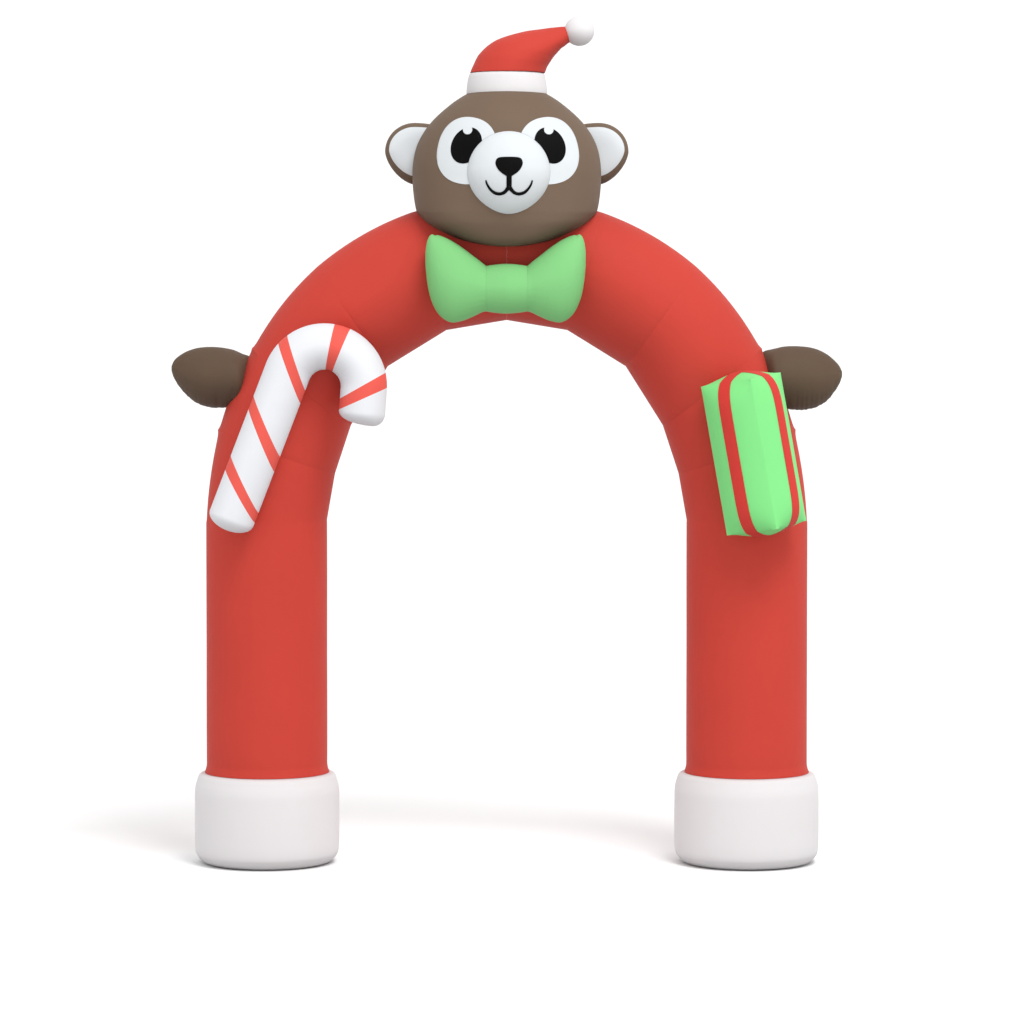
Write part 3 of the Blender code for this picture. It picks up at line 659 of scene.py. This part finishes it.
def make_foot(side, name):
    rings = []
    steps = 84
    for step in range(steps + 1):
        radius, height = smooth_row(FOOT_PROFILE, step / steps)
        points = []
        for angle in turns(TUBE_SIDES):
            top = math.exp(-abs(0.4068 - height) / 0.03) * ridged(angle * 8, 31 + side)
            low = math.exp(-abs(height) / 0.03) * ridged(angle * 8, 41 + side) * min(1.0, height / 0.01)
            inward = 0.0012 * top + 0.0014 * low + slack(Vector((math.cos(angle), math.sin(angle), height)))
            reach = radius - inward
            place_x = side * FOOT_X + reach * math.cos(angle)
            points.append(Vector((place_x, reach * math.sin(angle), max(height, 0))))
        rings.append(points)
    return loft(name, rings)


def make_arch():
    for side, word in SIDES:
        for number in range(len(SEAMS) - 2):
            node = "arch_%s_%d" % (word, number + 1)
            inflated(make_panel(number, side, node + "_cloth"), node, "arch_red")
        inflated(make_leg(side, "leg_%s_cloth" % word), "leg_" + word, "arch_red")
        inflated(make_foot(side, "foot_%s_cloth" % word), "foot_" + word, "foot_white")


# Flat outlines and the panels inside them
def ellipse(centre, radii, tilt, side, power=2.0, count=96):
    """A round outline in the X-Z plane whose top leans inwards by the tilt. Power 2 is an ellipse."""
    points = []
    for angle in turns(count):
        across = radii[0] * signed_power(math.cos(angle), 2 / power)
        up = radii[1] * signed_power(math.sin(angle), 2 / power)
        x = centre[0] + across * math.cos(tilt) - up * math.sin(tilt)
        z = centre[1] + across * math.sin(tilt) + up * math.cos(tilt)
        points.append(Vector((side * x, z)))
    return points


def subdivided(points, longest=0.005):
    """The same closed outline with its long edges split."""
    finer = []
    for step, point in enumerate(points):
        after = points[(step + 1) % len(points)]
        parts = max(1, math.ceil((after - point).length / longest))
        finer += [point.lerp(after, part / parts) for part in range(parts)]
    return finer


def panel_on(name, outline, depth_at, lift, thickness=CLOTH, loops=18):
    """A thin panel inside an outline, laid on a surface whose depth is known at every x and z."""
    middle = sum(outline, Vector((0.0, 0.0))) / len(outline)
    shape = bmesh.new()
    layers = []
    for raised in (lift, lift + thickness):
        rows = []
        for loop in range(1, loops + 1):
            row = []
            for point in outline:
                spot = middle + (point - middle) * (loop / loops)
                row.append(shape.verts.new((spot.x, depth_at(spot.x, spot.y) - raised, spot.y)))
            rows.append(row)
        centre = shape.verts.new((middle.x, depth_at(middle.x, middle.y) - raised, middle.y))
        for inner, outer in zip(rows, rows[1:]):
            for step in range(len(outline)):
                after = (step + 1) % len(outline)
                shape.faces.new((inner[step], inner[after], outer[after], outer[step]))
        for step in range(len(outline)):
            shape.faces.new((centre, rows[0][step], rows[0][(step + 1) % len(outline)]))
        layers.append(rows[-1])
    back, front = layers
    for step in range(len(outline)):
        after = (step + 1) % len(outline)
        shape.faces.new((back[step], back[after], front[after], front[step]))
    return object_from(name, shape)


# Head
HEAD_ROWS = [smooth_row(HEAD_SECTIONS, step / HEAD_STEPS) for step in range(HEAD_STEPS + 1)]


def head_depth(x, z):
    """The depth of the head's front surface at a point."""
    for lower, upper in zip(HEAD_ROWS, HEAD_ROWS[1:]):
        if lower[0] <= z <= upper[0]:
            break
    share = (z - lower[0]) / (upper[0] - lower[0])
    _, half_width, half_depth, power = (a + (b - a) * share for a, b in zip(lower, upper))
    inside = max(0.0, 1 - abs(x / half_width) ** power)
    return HEAD_FORWARD - half_depth * inside ** (1 / power)


def make_head(tube_clearance):
    rings = []
    for height, half_width, half_depth, power in HEAD_ROWS:
        row_middle = (0, HEAD_FORWARD, height)
        rings.append(ring(row_middle, (half_width, 0, 0), (0, half_depth, 0), HEAD_SIDES, power))
    whole = loft("head_cloth", rings)
    clearance = grown(whole, CLEAR)
    return carve(whole, tube_clearance), clearance


def muzzle_depth(x, z):
    """The depth of the muzzle's dome at a point."""
    x -= MUZZLE_CENTRE[0]
    rise = z - MUZZLE_CENTRE[1]
    if rise < 0:
        sine = -rise / math.hypot(x, rise)
        for _ in range(6):
            fall = -rise / (1 + MUZZLE_DROOP * sine ** 3)
            sine = fall / math.hypot(x, fall)
        rise = fall
    share = min(1.0, math.hypot(x, rise) / MUZZLE_RADIUS)
    return MUZZLE_ROOT_Y - MUZZLE_HEIGHT * math.sqrt(1 - share * share)


def make_muzzle(head_clearance):
    """A dome whose root runs into the head and whose lower half hangs a little."""
    middle_x, middle_z = MUZZLE_CENTRE
    rings = []
    steps = 40
    for step in range(-1, steps):
        angle = math.pi / 2 * max(step, 0) / steps
        y = MUZZLE_ROOT_Y - MUZZLE_HEIGHT * math.sin(angle) + (MUZZLE_ROOT_LENGTH if step < 0 else 0.0)
        reach = MUZZLE_RADIUS * math.cos(angle)
        points = []
        for point in ring((0, 0, 0), (1, 0, 0), (0, 0, 1), 128):
            hang = 1 + MUZZLE_DROOP * max(0.0, -point.z) ** 3
            points.append(Vector((middle_x + point.x * reach, y, middle_z + point.z * hang * reach)))
        rings.append(points)
    muzzle = loft("muzzle_cloth", rings)
    clearance = grown(muzzle, CLEAR)
    return carve(muzzle, head_clearance), clearance


def make_eye(side, word, muzzle_clearance):
    centre = (PATCH_CENTRE[0] + side * PATCH_ASIDE, PATCH_CENTRE[1])
    outline = ellipse(centre, PATCH_RADII, PATCH_TILT, side, PATCH_POWER)
    patch = panel_on("eye_patch_%s_cloth" % word, outline, head_depth, CLEAR)
    carve(patch, muzzle_clearance)
    flat_cloth(patch, "eye_patch_" + word, "panel_white")
    centre = (EYE_CENTRE[0] + side * EYE_ASIDE, EYE_CENTRE[1])
    outline = ellipse(centre, EYE_RADII, EYE_TILT, side)
    eye = panel_on("eye_%s_cloth" % word, outline, head_depth, 2 * CLEAR + CLOTH, CLOTH / 2)
    x = side * (centre[0] + GLINT_OFFSET[0])
    z = centre[1] + GLINT_OFFSET[1]
    glint_wide = (GLINT_RADIUS, 0, 0)
    glint_high = (0, 0, GLINT_RADIUS)
    glint = loft("glint", [ring((x, y, z), glint_wide, glint_high, 48) for y in (-0.7, -0.2)])
    carve(eye, muzzle_clearance, glint)
    drop(glint)
    flat_cloth(eye, "eye_" + word, "face_black")


def nose_outline():
    """A rounded triangle, point down, that runs on into the upright bar of the lip."""
    half = [Vector(point) for point in NOSE_SIDE]
    path = [Vector((-point.x, point.y)) for point in reversed(half)] + half
    steps = 104
    points = [Vector(smooth_row(path, step / steps)) for step in range(steps + 1)]
    points.append(Vector((LIP_BAR_HALF_WIDTH, LIP_BAR_BOTTOM)))
    points.append(Vector((-LIP_BAR_HALF_WIDTH, LIP_BAR_BOTTOM)))
    return subdivided([point + Vector((LIP_X, 0.0)) for point in points])


def mouth_rows():
    """Upper and lower points of the mouth's right stroke, from the lip bar to its tip."""
    rows = [(Vector((LIP_BAR_HALF_WIDTH, LIP_BAR_BOTTOM - 0.0003)), Vector((0.0004, MOUTH_NOTCH)))]
    steps = 56
    for step in range(steps + 1):
        share = (1 + (len(MOUTH_LINE) - 2) * step / steps) / (len(MOUTH_LINE) - 1)
        x, height, width = smooth_row(MOUTH_LINE, share)
        behind = smooth_row(MOUTH_LINE, share - 0.01)
        ahead = smooth_row(MOUTH_LINE, share + 0.01)
        along = Vector((ahead[0] - behind[0], ahead[1] - behind[1])).normalized()
        across = Vector((-along.y, along.x)) * width / 2
        rows.append((Vector((x, height)) + across, Vector((x, height)) - across))
    return rows


def make_mouth():
    """Two strokes that part under the lip bar, curve outwards and thin towards their tips."""
    right = mouth_rows()
    left = [[Vector((-point.x, point.y)) for point in pair] for pair in reversed(right)]
    shape = bmesh.new()
    rows = []
    for upper, lower in left + right:
        row = []
        for lift in (CLEAR, CLEAR + CLOTH):
            for spot in (lower, upper):
                x = spot.x + LIP_X
                row.append(shape.verts.new((x, muzzle_depth(x, spot.y) - lift, spot.y)))
        rows.append(row)
    for first, second in zip(rows, rows[1:]):
        for a, b in ((0, 1), (1, 3), (3, 2), (2, 0)):
            shape.faces.new((first[a], first[b], second[b], second[a]))
    for row in (rows[0], rows[-1]):
        shape.faces.new((row[0], row[1], row[3], row[2]))
    return object_from("mouth_cloth", shape)


def make_nose_and_mouth():
    nose = panel_on("nose_cloth", nose_outline(), muzzle_depth, CLEAR)
    flat_cloth(nose, "nose", "face_black")
    flat_cloth(make_mouth(), "mouth", "face_black")


# Ears
def ear_points(outline, side, share=1.0, count=120):
    """An ear's outline, or a share of it, from its middle height and its reach outwards, up and down."""
    middle_z, outward, upward, downward = outline
    points = []
    for angle in turns(count):
        power = 2 / EAR_LOW_POWER if math.sin(angle) < 0 else 1.0
        reach = EAR_INNER_REACH if math.cos(angle) < 0 else outward
        height = downward if math.sin(angle) < 0 else upward
        x = EAR_X + share * reach * signed_power(math.cos(angle), power)
        points.append(Vector((side * x, middle_z + share * height * signed_power(math.sin(angle), power))))
    return points


def ear_face(share):
    """How far the ear's face stands from its middle plane at a share of its outline."""
    return EAR_HALF_DEPTH * (1 - min(share, 1.0) ** 5) ** 0.5


def ear_front(side, x, z):
    """The depth of an ear's front face at a point."""
    middle_z, outward, upward, downward = EAR_OUTLINE
    across = side * x - EAR_X
    rise = z - middle_z
    power = EAR_LOW_POWER if rise < 0 else 2.0
    reach = EAR_INNER_REACH if across < 0 else outward
    height = downward if rise < 0 else upward
    share = (abs(across / reach) ** power + abs(rise / height) ** power) ** (1 / power)
    return EAR_BACK - ear_face(share)


def make_ear(side, word, head_clearance):
    steps = 22
    shares = [math.sin(math.pi / 2 * (step + 0.3) / (steps + 0.3)) for step in range(steps + 1)]
    sections = [(-1, share) for share in shares] + [(1, share) for share in reversed(shares[:-1])]
    rings = []
    for facing, share in sections:
        depth = EAR_BACK + facing * ear_face(share)
        rings.append([Vector((point.x, depth, point.y)) for point in ear_points(EAR_OUTLINE, side, share)])
    ear = loft("ear_%s_cloth" % word, rings)
    inflated(carve(ear, head_clearance), "ear_" + word, "head_brown")

    def front(x, z):
        return ear_front(side, x, z)

    panel = panel_on("ear_panel_%s_cloth" % word, ear_points(EAR_PANEL_OUTLINE, side), front, CLEAR)
    carve(panel, head_clearance)
    flat_cloth(panel, "ear_panel_" + word, "panel_white")


# Hat
def make_hat_band(head_clearance):
    rings = []
    for step in range(41):
        radius, height = smooth_row(BAND_PROFILE, step / 40)
        points = []
        for angle in turns(128):
            reach = radius - 0.0015 * ridged(angle * 6, 51) * math.exp(-abs(height - 3.551) / 0.02)
            points.append(Vector((reach * math.cos(angle), HEAD_FORWARD + reach * math.sin(angle), height)))
        rings.append(points)
    inflated(carve(loft("hat_band_cloth", rings), head_clearance), "hat_band", "foot_white")


def make_pompom():
    x, height = POMPOM_CENTRE
    shape = bmesh.new()
    bmesh.ops.create_uvsphere(shape, u_segments=64, v_segments=32, radius=POMPOM_RADIUS)
    for vertex in shape.verts:
        vertex.co += Vector((x, HEAD_FORWARD, height))
    return object_from("pompom_cloth", shape)


def make_hat(head_clearance):
    make_hat_band(head_clearance)
    pompom = make_pompom()
    clearance = grown(pompom, CLEAR)
    rings = []
    for step in range(73):
        x, height, half_chord, slope, half_depth = smooth_row(CONE_SECTIONS, step / 72)
        chord = Vector((math.cos(math.radians(slope)), 0.0, math.sin(math.radians(slope))))
        points = []
        for angle in turns(112):
            inner_side = max(0.0, math.cos(angle)) ** 3
            fold = 0.0020 * inner_side * ridged(step * 0.35, 61) * math.exp(-((step - 26) / 16) ** 2)
            foot = 0.0014 * ridged(angle * 7, 63) * math.exp(-step / 3)
            across = chord * half_chord * math.cos(angle) + Vector((0, half_depth * math.sin(angle), 0))
            points.append(Vector((x, HEAD_FORWARD, height)) + across * (1 - (fold + foot) / half_chord))
        rings.append(points)
    inflated(carve(loft("hat_cone_cloth", rings), clearance), "hat_cone", "arch_red")
    inflated(pompom, "pompom", "foot_white")
    drop(clearance)


# Bow tie
def make_bow_knot(tube_clearance):
    rings = []
    for step in range(57):
        x, half_height, half_depth = smooth_row(KNOT_SECTIONS, eased(step, 56))
        points = []
        for angle in turns(112):
            pleat = 0.0006 * math.exp(-(0.090 - abs(x)) / 0.018) * ridged(angle * 6, 71)
            across = Vector((0, half_depth * math.sin(angle), half_height * math.cos(angle)))
            points.append(Vector((x, BOW_FORWARD, KNOT_Z)) + across * (1 - pleat / half_height))
        rings.append(points)
    inflated(carve(loft("bow_knot_cloth", rings), tube_clearance), "bow_knot", "bow_green")


def make_bow(tube_clearance):
    make_bow_knot(tube_clearance)
    dip_place, dip_depth, dip_reach = LOBE_DIP
    for side, word in SIDES:
        rings = []
        for step in range(97):
            out, top, bottom, half_depth = smooth_row(LOBE_SECTIONS, eased(step, 96) * 0.5 + step / 96 * 0.5)
            x = side * (LOBE_START + out * LOBE_REACH[word])
            half_height = (top - bottom) / 2
            points = []
            for angle in turns(112):
                pleat = 0.0014 * math.exp(-out / 0.05) * ridged(angle * 6, 73 + side)
                pleat *= 1 - math.exp(-out / 0.006)
                near_dip = math.exp(-((out - dip_place) / dip_reach) ** 2)
                pleat += dip_depth * max(0.0, math.cos(angle)) ** 6 * near_dip
                across = Vector((0, half_depth * math.sin(angle), half_height * math.cos(angle)))
                lobe_middle = Vector((x, BOW_FORWARD, (top + bottom) / 2))
                points.append(lobe_middle + across * (1 - pleat / half_height))
            rings.append(points)
        inflated(carve(loft("bow_%s_cloth" % word, rings), tube_clearance), "bow_" + word, "bow_green")


# Arms
def make_arms(tube_clearance):
    for side, word in SIDES:
        rings = []
        for step in range(97):
            x, height, half_height, half_depth = smooth_row(ARM_SECTIONS[word], step / 96)
            tip = math.exp(-(1.506 - x) / 0.06)
            points = []
            for angle in turns(112):
                up = math.cos(angle)
                low = max(0.0, -up - 0.25) / 0.75
                fold = 0.0034 * ridged(x * 46 + 3 * side, 81) * low
                fold += 0.004 * tip * ridged(angle * 5, 83)
                across = Vector((0, half_depth * math.sin(angle), half_height * up))
                points.append(Vector((side * x, 0, height)) + across * max(0.2, 1 - fold / half_height))
            rings.append(points)
        inflated(carve(loft("arm_%s_cloth" % word, rings), tube_clearance), "arm_" + word, "arm_brown")


# Cane
def cane_axis(length):
    """The cane's middle line and its outward direction at a length from the shaft's end."""
    upward = Vector((math.sin(CANE_LEAN), 0.0, math.cos(CANE_LEAN)))
    centre = Vector((CANE_BEND_CENTRE[0], CANE_FORWARD, CANE_BEND_CENTRE[1]))
    start = math.pi - CANE_LEAN
    bend = CANE_BEND_RADIUS * (start - CANE_BEND_END)
    turned = min(max((length - CANE_SHAFT) / CANE_BEND_RADIUS, 0.0), start - CANE_BEND_END)
    outward = Vector((math.cos(start - turned), 0.0, math.sin(start - turned)))
    spot = centre + outward * CANE_BEND_RADIUS
    if length < CANE_SHAFT:
        spot += upward * (length - CANE_SHAFT)
    if length > CANE_SHAFT + bend:
        downward = Vector((math.sin(CANE_BEND_END), 0.0, -math.cos(CANE_BEND_END)))
        spot += downward * (length - CANE_SHAFT - bend)
    return spot, outward


CANE_LENGTH = CANE_SHAFT + CANE_BEND_RADIUS * (math.pi - CANE_LEAN - CANE_BEND_END) + CANE_TAIL


def cane_edge(length, across):
    """Where the front view shows the cloth at a length, from -1 on the inner side to 1 on the outer side."""
    spot, outward = cane_axis(length)
    return spot + outward * CANE_RADIUS * across


def cut_length(outer, inner, across):
    """The length at which a straight cut from the outer to the inner side meets the cloth."""
    start = cane_edge(outer, 1)
    along = cane_edge(inner, -1) - start
    low = min(outer, inner) - 0.03
    high = max(outer, inner) + 0.03
    for _ in range(24):
        middle = (low + high) / 2
        offset = cane_edge(middle, across) - start
        if offset.x * along.z > offset.z * along.x:
            low = middle
        else:
            high = middle
    return (low + high) / 2


def cane_rows():
    """For each section, the lengths around it and whether the cloth after it is striped."""
    marks = [(0.0, 0.0, 0)]
    for outer_from, outer_to, inner_from, inner_to in CANE_STRIPES:
        marks.append((outer_from, inner_from, 1))
        marks.append((outer_to, inner_to, 0))
    marks.append((CANE_LENGTH, CANE_LENGTH, 0))
    cuts = []
    for outer, inner, _ in marks:
        cuts.append([cut_length(outer, inner, math.cos(angle)) for angle in turns(CANE_SIDES)])
    rows = []
    for number, (first, second) in enumerate(zip(cuts, cuts[1:])):
        steps = max(5, math.ceil(max(b - a for a, b in zip(first, second)) / 0.007))
        for step in range(steps):
            share = step / steps
            if number == 0:
                share = share ** 1.6
            if number == len(cuts) - 2:
                share = 1 - (1 - share) ** 1.6
            rows.append(([a + (b - a) * share for a, b in zip(first, second)], marks[number][2]))
    rows.append((cuts[-1], 0))
    return rows


def cane_vertex(length, angle):
    """A point of the cane's cloth. Both ends round off, and the hook's end leans to its outer side."""
    length = min(max(length, 0.0003), CANE_LENGTH - 0.0003)
    spot, outward = cane_axis(length)
    near = min(length, CANE_LENGTH - length)
    girth = math.sqrt(max(0.0, 1 - max(0.0, 1 - near / CANE_END_DEPTH) ** 2.1))
    skew = CANE_END_SKEW * (1 - girth) if length > CANE_SHAFT else 0.0
    squeeze = 0.0020 * max(0.0, -math.cos(angle)) ** 2 * ridged(length * 60, 91)
    squeeze *= math.exp(-((length - CANE_SHAFT - 0.24) / 0.2) ** 2)
    around = outward * math.cos(angle) + Vector((0, math.sin(angle), 0))
    return spot + around * (CANE_RADIUS * girth - squeeze) + outward * skew


def make_cane(tube_clearance):
    rows = cane_rows()
    shape = bmesh.new()
    loops = []
    for lengths, _ in rows:
        pairs = zip(lengths, turns(CANE_SIDES))
        loops.append([shape.verts.new(cane_vertex(length, angle)) for length, angle in pairs])
    for (_, striped), lower, upper in zip(rows, loops, loops[1:]):
        for step in range(CANE_SIDES):
            after = (step + 1) % CANE_SIDES
            face = shape.faces.new((lower[step], lower[after], upper[after], upper[step]))
            face.material_index = striped
    close_end(shape, loops[0])
    close_end(shape, loops[-1])
    cane = object_from("candy_cane_cloth", shape)
    cane.data.materials.append(MATERIALS["cane_white"])
    cane.data.materials.append(MATERIALS["cane_stripe"])
    inflated(carve(cane, tube_clearance), "candy_cane", "cane_white")


# Gift
def ribbon_level(value):
    """Move grid lines so that some of them run along the ribbon's edges."""
    edge = RIBBON_CELLS / GIFT_CELLS
    size = abs(value)
    if size <= edge + 1e-6:
        moved = size / edge * RIBBON_SHARE
    else:
        moved = RIBBON_SHARE + (size - edge) / (1 - edge) * (1 - RIBBON_SHARE)
    return math.copysign(min(moved, 1.0), value) if size > 1e-6 else 0.0


def gift_point(u, v, w):
    """A point of the box from its place on a cube: flat faces that swell between sharp edges."""
    swell = GIFT_BULGE * (1 - w ** 8)
    x = u * GIFT_SIDE / 2
    y = v * GIFT_SIDE / 2
    z = w * GIFT_LENGTH / 2
    if abs(u) > 0.9999:
        x += u * swell * (1 - v * v)
    if abs(v) > 0.9999:
        y += v * swell * (1 - u * u)
    if abs(w) > 0.9999:
        z += w * GIFT_END_BULGE * (1 - u * u) * (1 - v * v)
    return Vector((x, y, z))


def gift_mesh(ribbon_only):
    """The box in its own frame, from a cube of even cells, or only the cells under the ribbon."""
    shape = bmesh.new()
    bmesh.ops.create_cube(shape, size=2.0)
    bmesh.ops.subdivide_edges(shape, edges=shape.edges, cuts=GIFT_CELLS - 1, use_grid_fill=True)
    spare = []
    edge = RIBBON_CELLS / GIFT_CELLS
    for face in shape.faces:
        place = face.calc_center_median()
        if min(abs(place.x), abs(place.y)) > edge:
            spare.append(face)
    for vertex in shape.verts:
        u, v, w = vertex.co
        vertex.co = gift_point(ribbon_level(u), ribbon_level(v), w)
    if ribbon_only:
        shape.normal_update()
        moves = [vertex.normal * CLEAR for vertex in shape.verts]
        for vertex, move in zip(shape.verts, moves):
            vertex.co += move
        bmesh.ops.delete(shape, geom=spare, context="FACES")
    # The box stands turned and leaning, with its front edge in its place
    front_edge = GIFT_SIDE / math.sqrt(2) * math.cos(math.pi / 4 - abs(GIFT_TURN))
    pose = Matrix.Translation((GIFT_X, GIFT_FRONT + front_edge, GIFT_Z))
    shape.transform(pose @ Matrix.Rotation(GIFT_LEAN, 4, "Y") @ Matrix.Rotation(GIFT_TURN, 4, "Z"))
    return shape


def make_gift(tube_clearance):
    gift = object_from("gift_box_cloth", gift_mesh(False))
    inflated(carve(gift, tube_clearance), "gift_box", "gift_green", sharp=60)
    shape = gift_mesh(True)
    mesh = bpy.data.meshes.new("gift_ribbon_cloth")
    shape.to_mesh(mesh)
    shape.free()
    mesh.transform(Matrix.Translation((0.0, ARCH_BACK, 0.0)))
    ribbon = link(bpy.data.objects.new("gift_ribbon_cloth", mesh))
    thicken = ribbon.modifiers.new("thicken", "SOLIDIFY")
    thicken.thickness = CLOTH
    thicken.offset = 1.0
    carve(ribbon, tube_clearance)
    flat_cloth(ribbon, "gift_ribbon", "ribbon_red")


# Stage, lights and camera
CAMERA_HEIGHT = 2.511
CAMERA_DISTANCE = 17.03
FOCAL_PIXELS = 3790.0
FRAME_PIXELS = 1024
CENTRE_X_PIXEL = 506.8
HORIZON_PIXEL = 304.6
PITCH = math.radians(1.57)


def make_stage():
    floor_material = bpy.data.materials.new("stage_white")
    floor_material.use_nodes = True
    shader = floor_material.node_tree.nodes["Principled BSDF"]
    shader.inputs["Base Color"].default_value = (0.97, 0.97, 0.97, 1)
    shader.inputs["Roughness"].default_value = 1.0
    shader.inputs["Specular IOR Level"].default_value = 0.0
    shape = bmesh.new()
    profile = [(-30.0, 0.0), (8.0, 0.0)]
    for step in range(1, 13):
        angle = math.pi / 2 * step / 12
        profile.append((8.0 + 6 * math.sin(angle), 6 - 6 * math.cos(angle)))
    profile.append((14.0, 26.0))
    rows = []
    for y, z in profile:
        rows.append([shape.verts.new((x, y, z - 0.001)) for x in (-40.0, 40.0)])
    for lower, upper in zip(rows, rows[1:]):
        shape.faces.new((lower[0], lower[1], upper[1], upper[0]))
    mesh = bpy.data.meshes.new("stage_floor")
    shape.to_mesh(mesh)
    shape.free()
    mesh.shade_smooth()
    mesh.materials.append(floor_material)
    link(bpy.data.objects.new("stage_floor", mesh))


def make_light(name, place, target, size, power):
    data = bpy.data.lights.new(name, "AREA")
    data.shape = "DISK"
    data.size = size
    data.energy = power
    light = link(bpy.data.objects.new(name, data))
    light.location = place
    light.rotation_euler = (Vector(target) - Vector(place)).to_track_quat("-Z", "Y").to_euler()


def make_lights():
    world = bpy.data.worlds.new("soft_studio")
    bpy.context.scene.world = world
    world.use_nodes = True
    sky = world.node_tree.nodes["Background"]
    sky.inputs["Color"].default_value = (1.0, 1.0, 1.0, 1)
    sky.inputs["Strength"].default_value = 0.875
    make_light("key", (4.4, -8.8, 15.4), (0, 0, 1.6), 7.3, 1660)
    bpy.context.scene.view_settings.view_transform = "Standard"


def make_camera():
    data = bpy.data.cameras.new("camera")
    data.sensor_fit = "HORIZONTAL"
    data.sensor_width = 36.0
    data.lens = 36.0 * FOCAL_PIXELS / FRAME_PIXELS
    raised = FRAME_PIXELS / 2 - HORIZON_PIXEL - FOCAL_PIXELS * math.tan(PITCH)
    data.shift_x = (FRAME_PIXELS / 2 - CENTRE_X_PIXEL) / FRAME_PIXELS
    data.shift_y = -raised / FRAME_PIXELS
    data.clip_end = 200.0
    camera = link(bpy.data.objects.new("camera", data))
    camera.location = (0.0, ARCH_BACK - CAMERA_DISTANCE, CAMERA_HEIGHT)
    camera.rotation_euler = (math.pi / 2 - PITCH, 0.0, 0.0)
    bpy.context.scene.camera = camera


def main():
    make_camera()
    make_stage()
    make_lights()
    make_arch()
    tube_clearance = make_tube_clearance()
    head, head_clearance = make_head(tube_clearance)
    inflated(head, "head", "head_brown")
    muzzle, muzzle_clearance = make_muzzle(head_clearance)
    inflated(muzzle, "muzzle", "panel_white")
    make_nose_and_mouth()
    for side, word in SIDES:
        make_eye(side, word, muzzle_clearance)
        make_ear(side, word, head_clearance)
    make_hat(head_clearance)
    make_bow(tube_clearance)
    make_arms(tube_clearance)
    make_cane(tube_clearance)
    make_gift(tube_clearance)
    drop(tube_clearance, head_clearance, muzzle_clearance)


main()
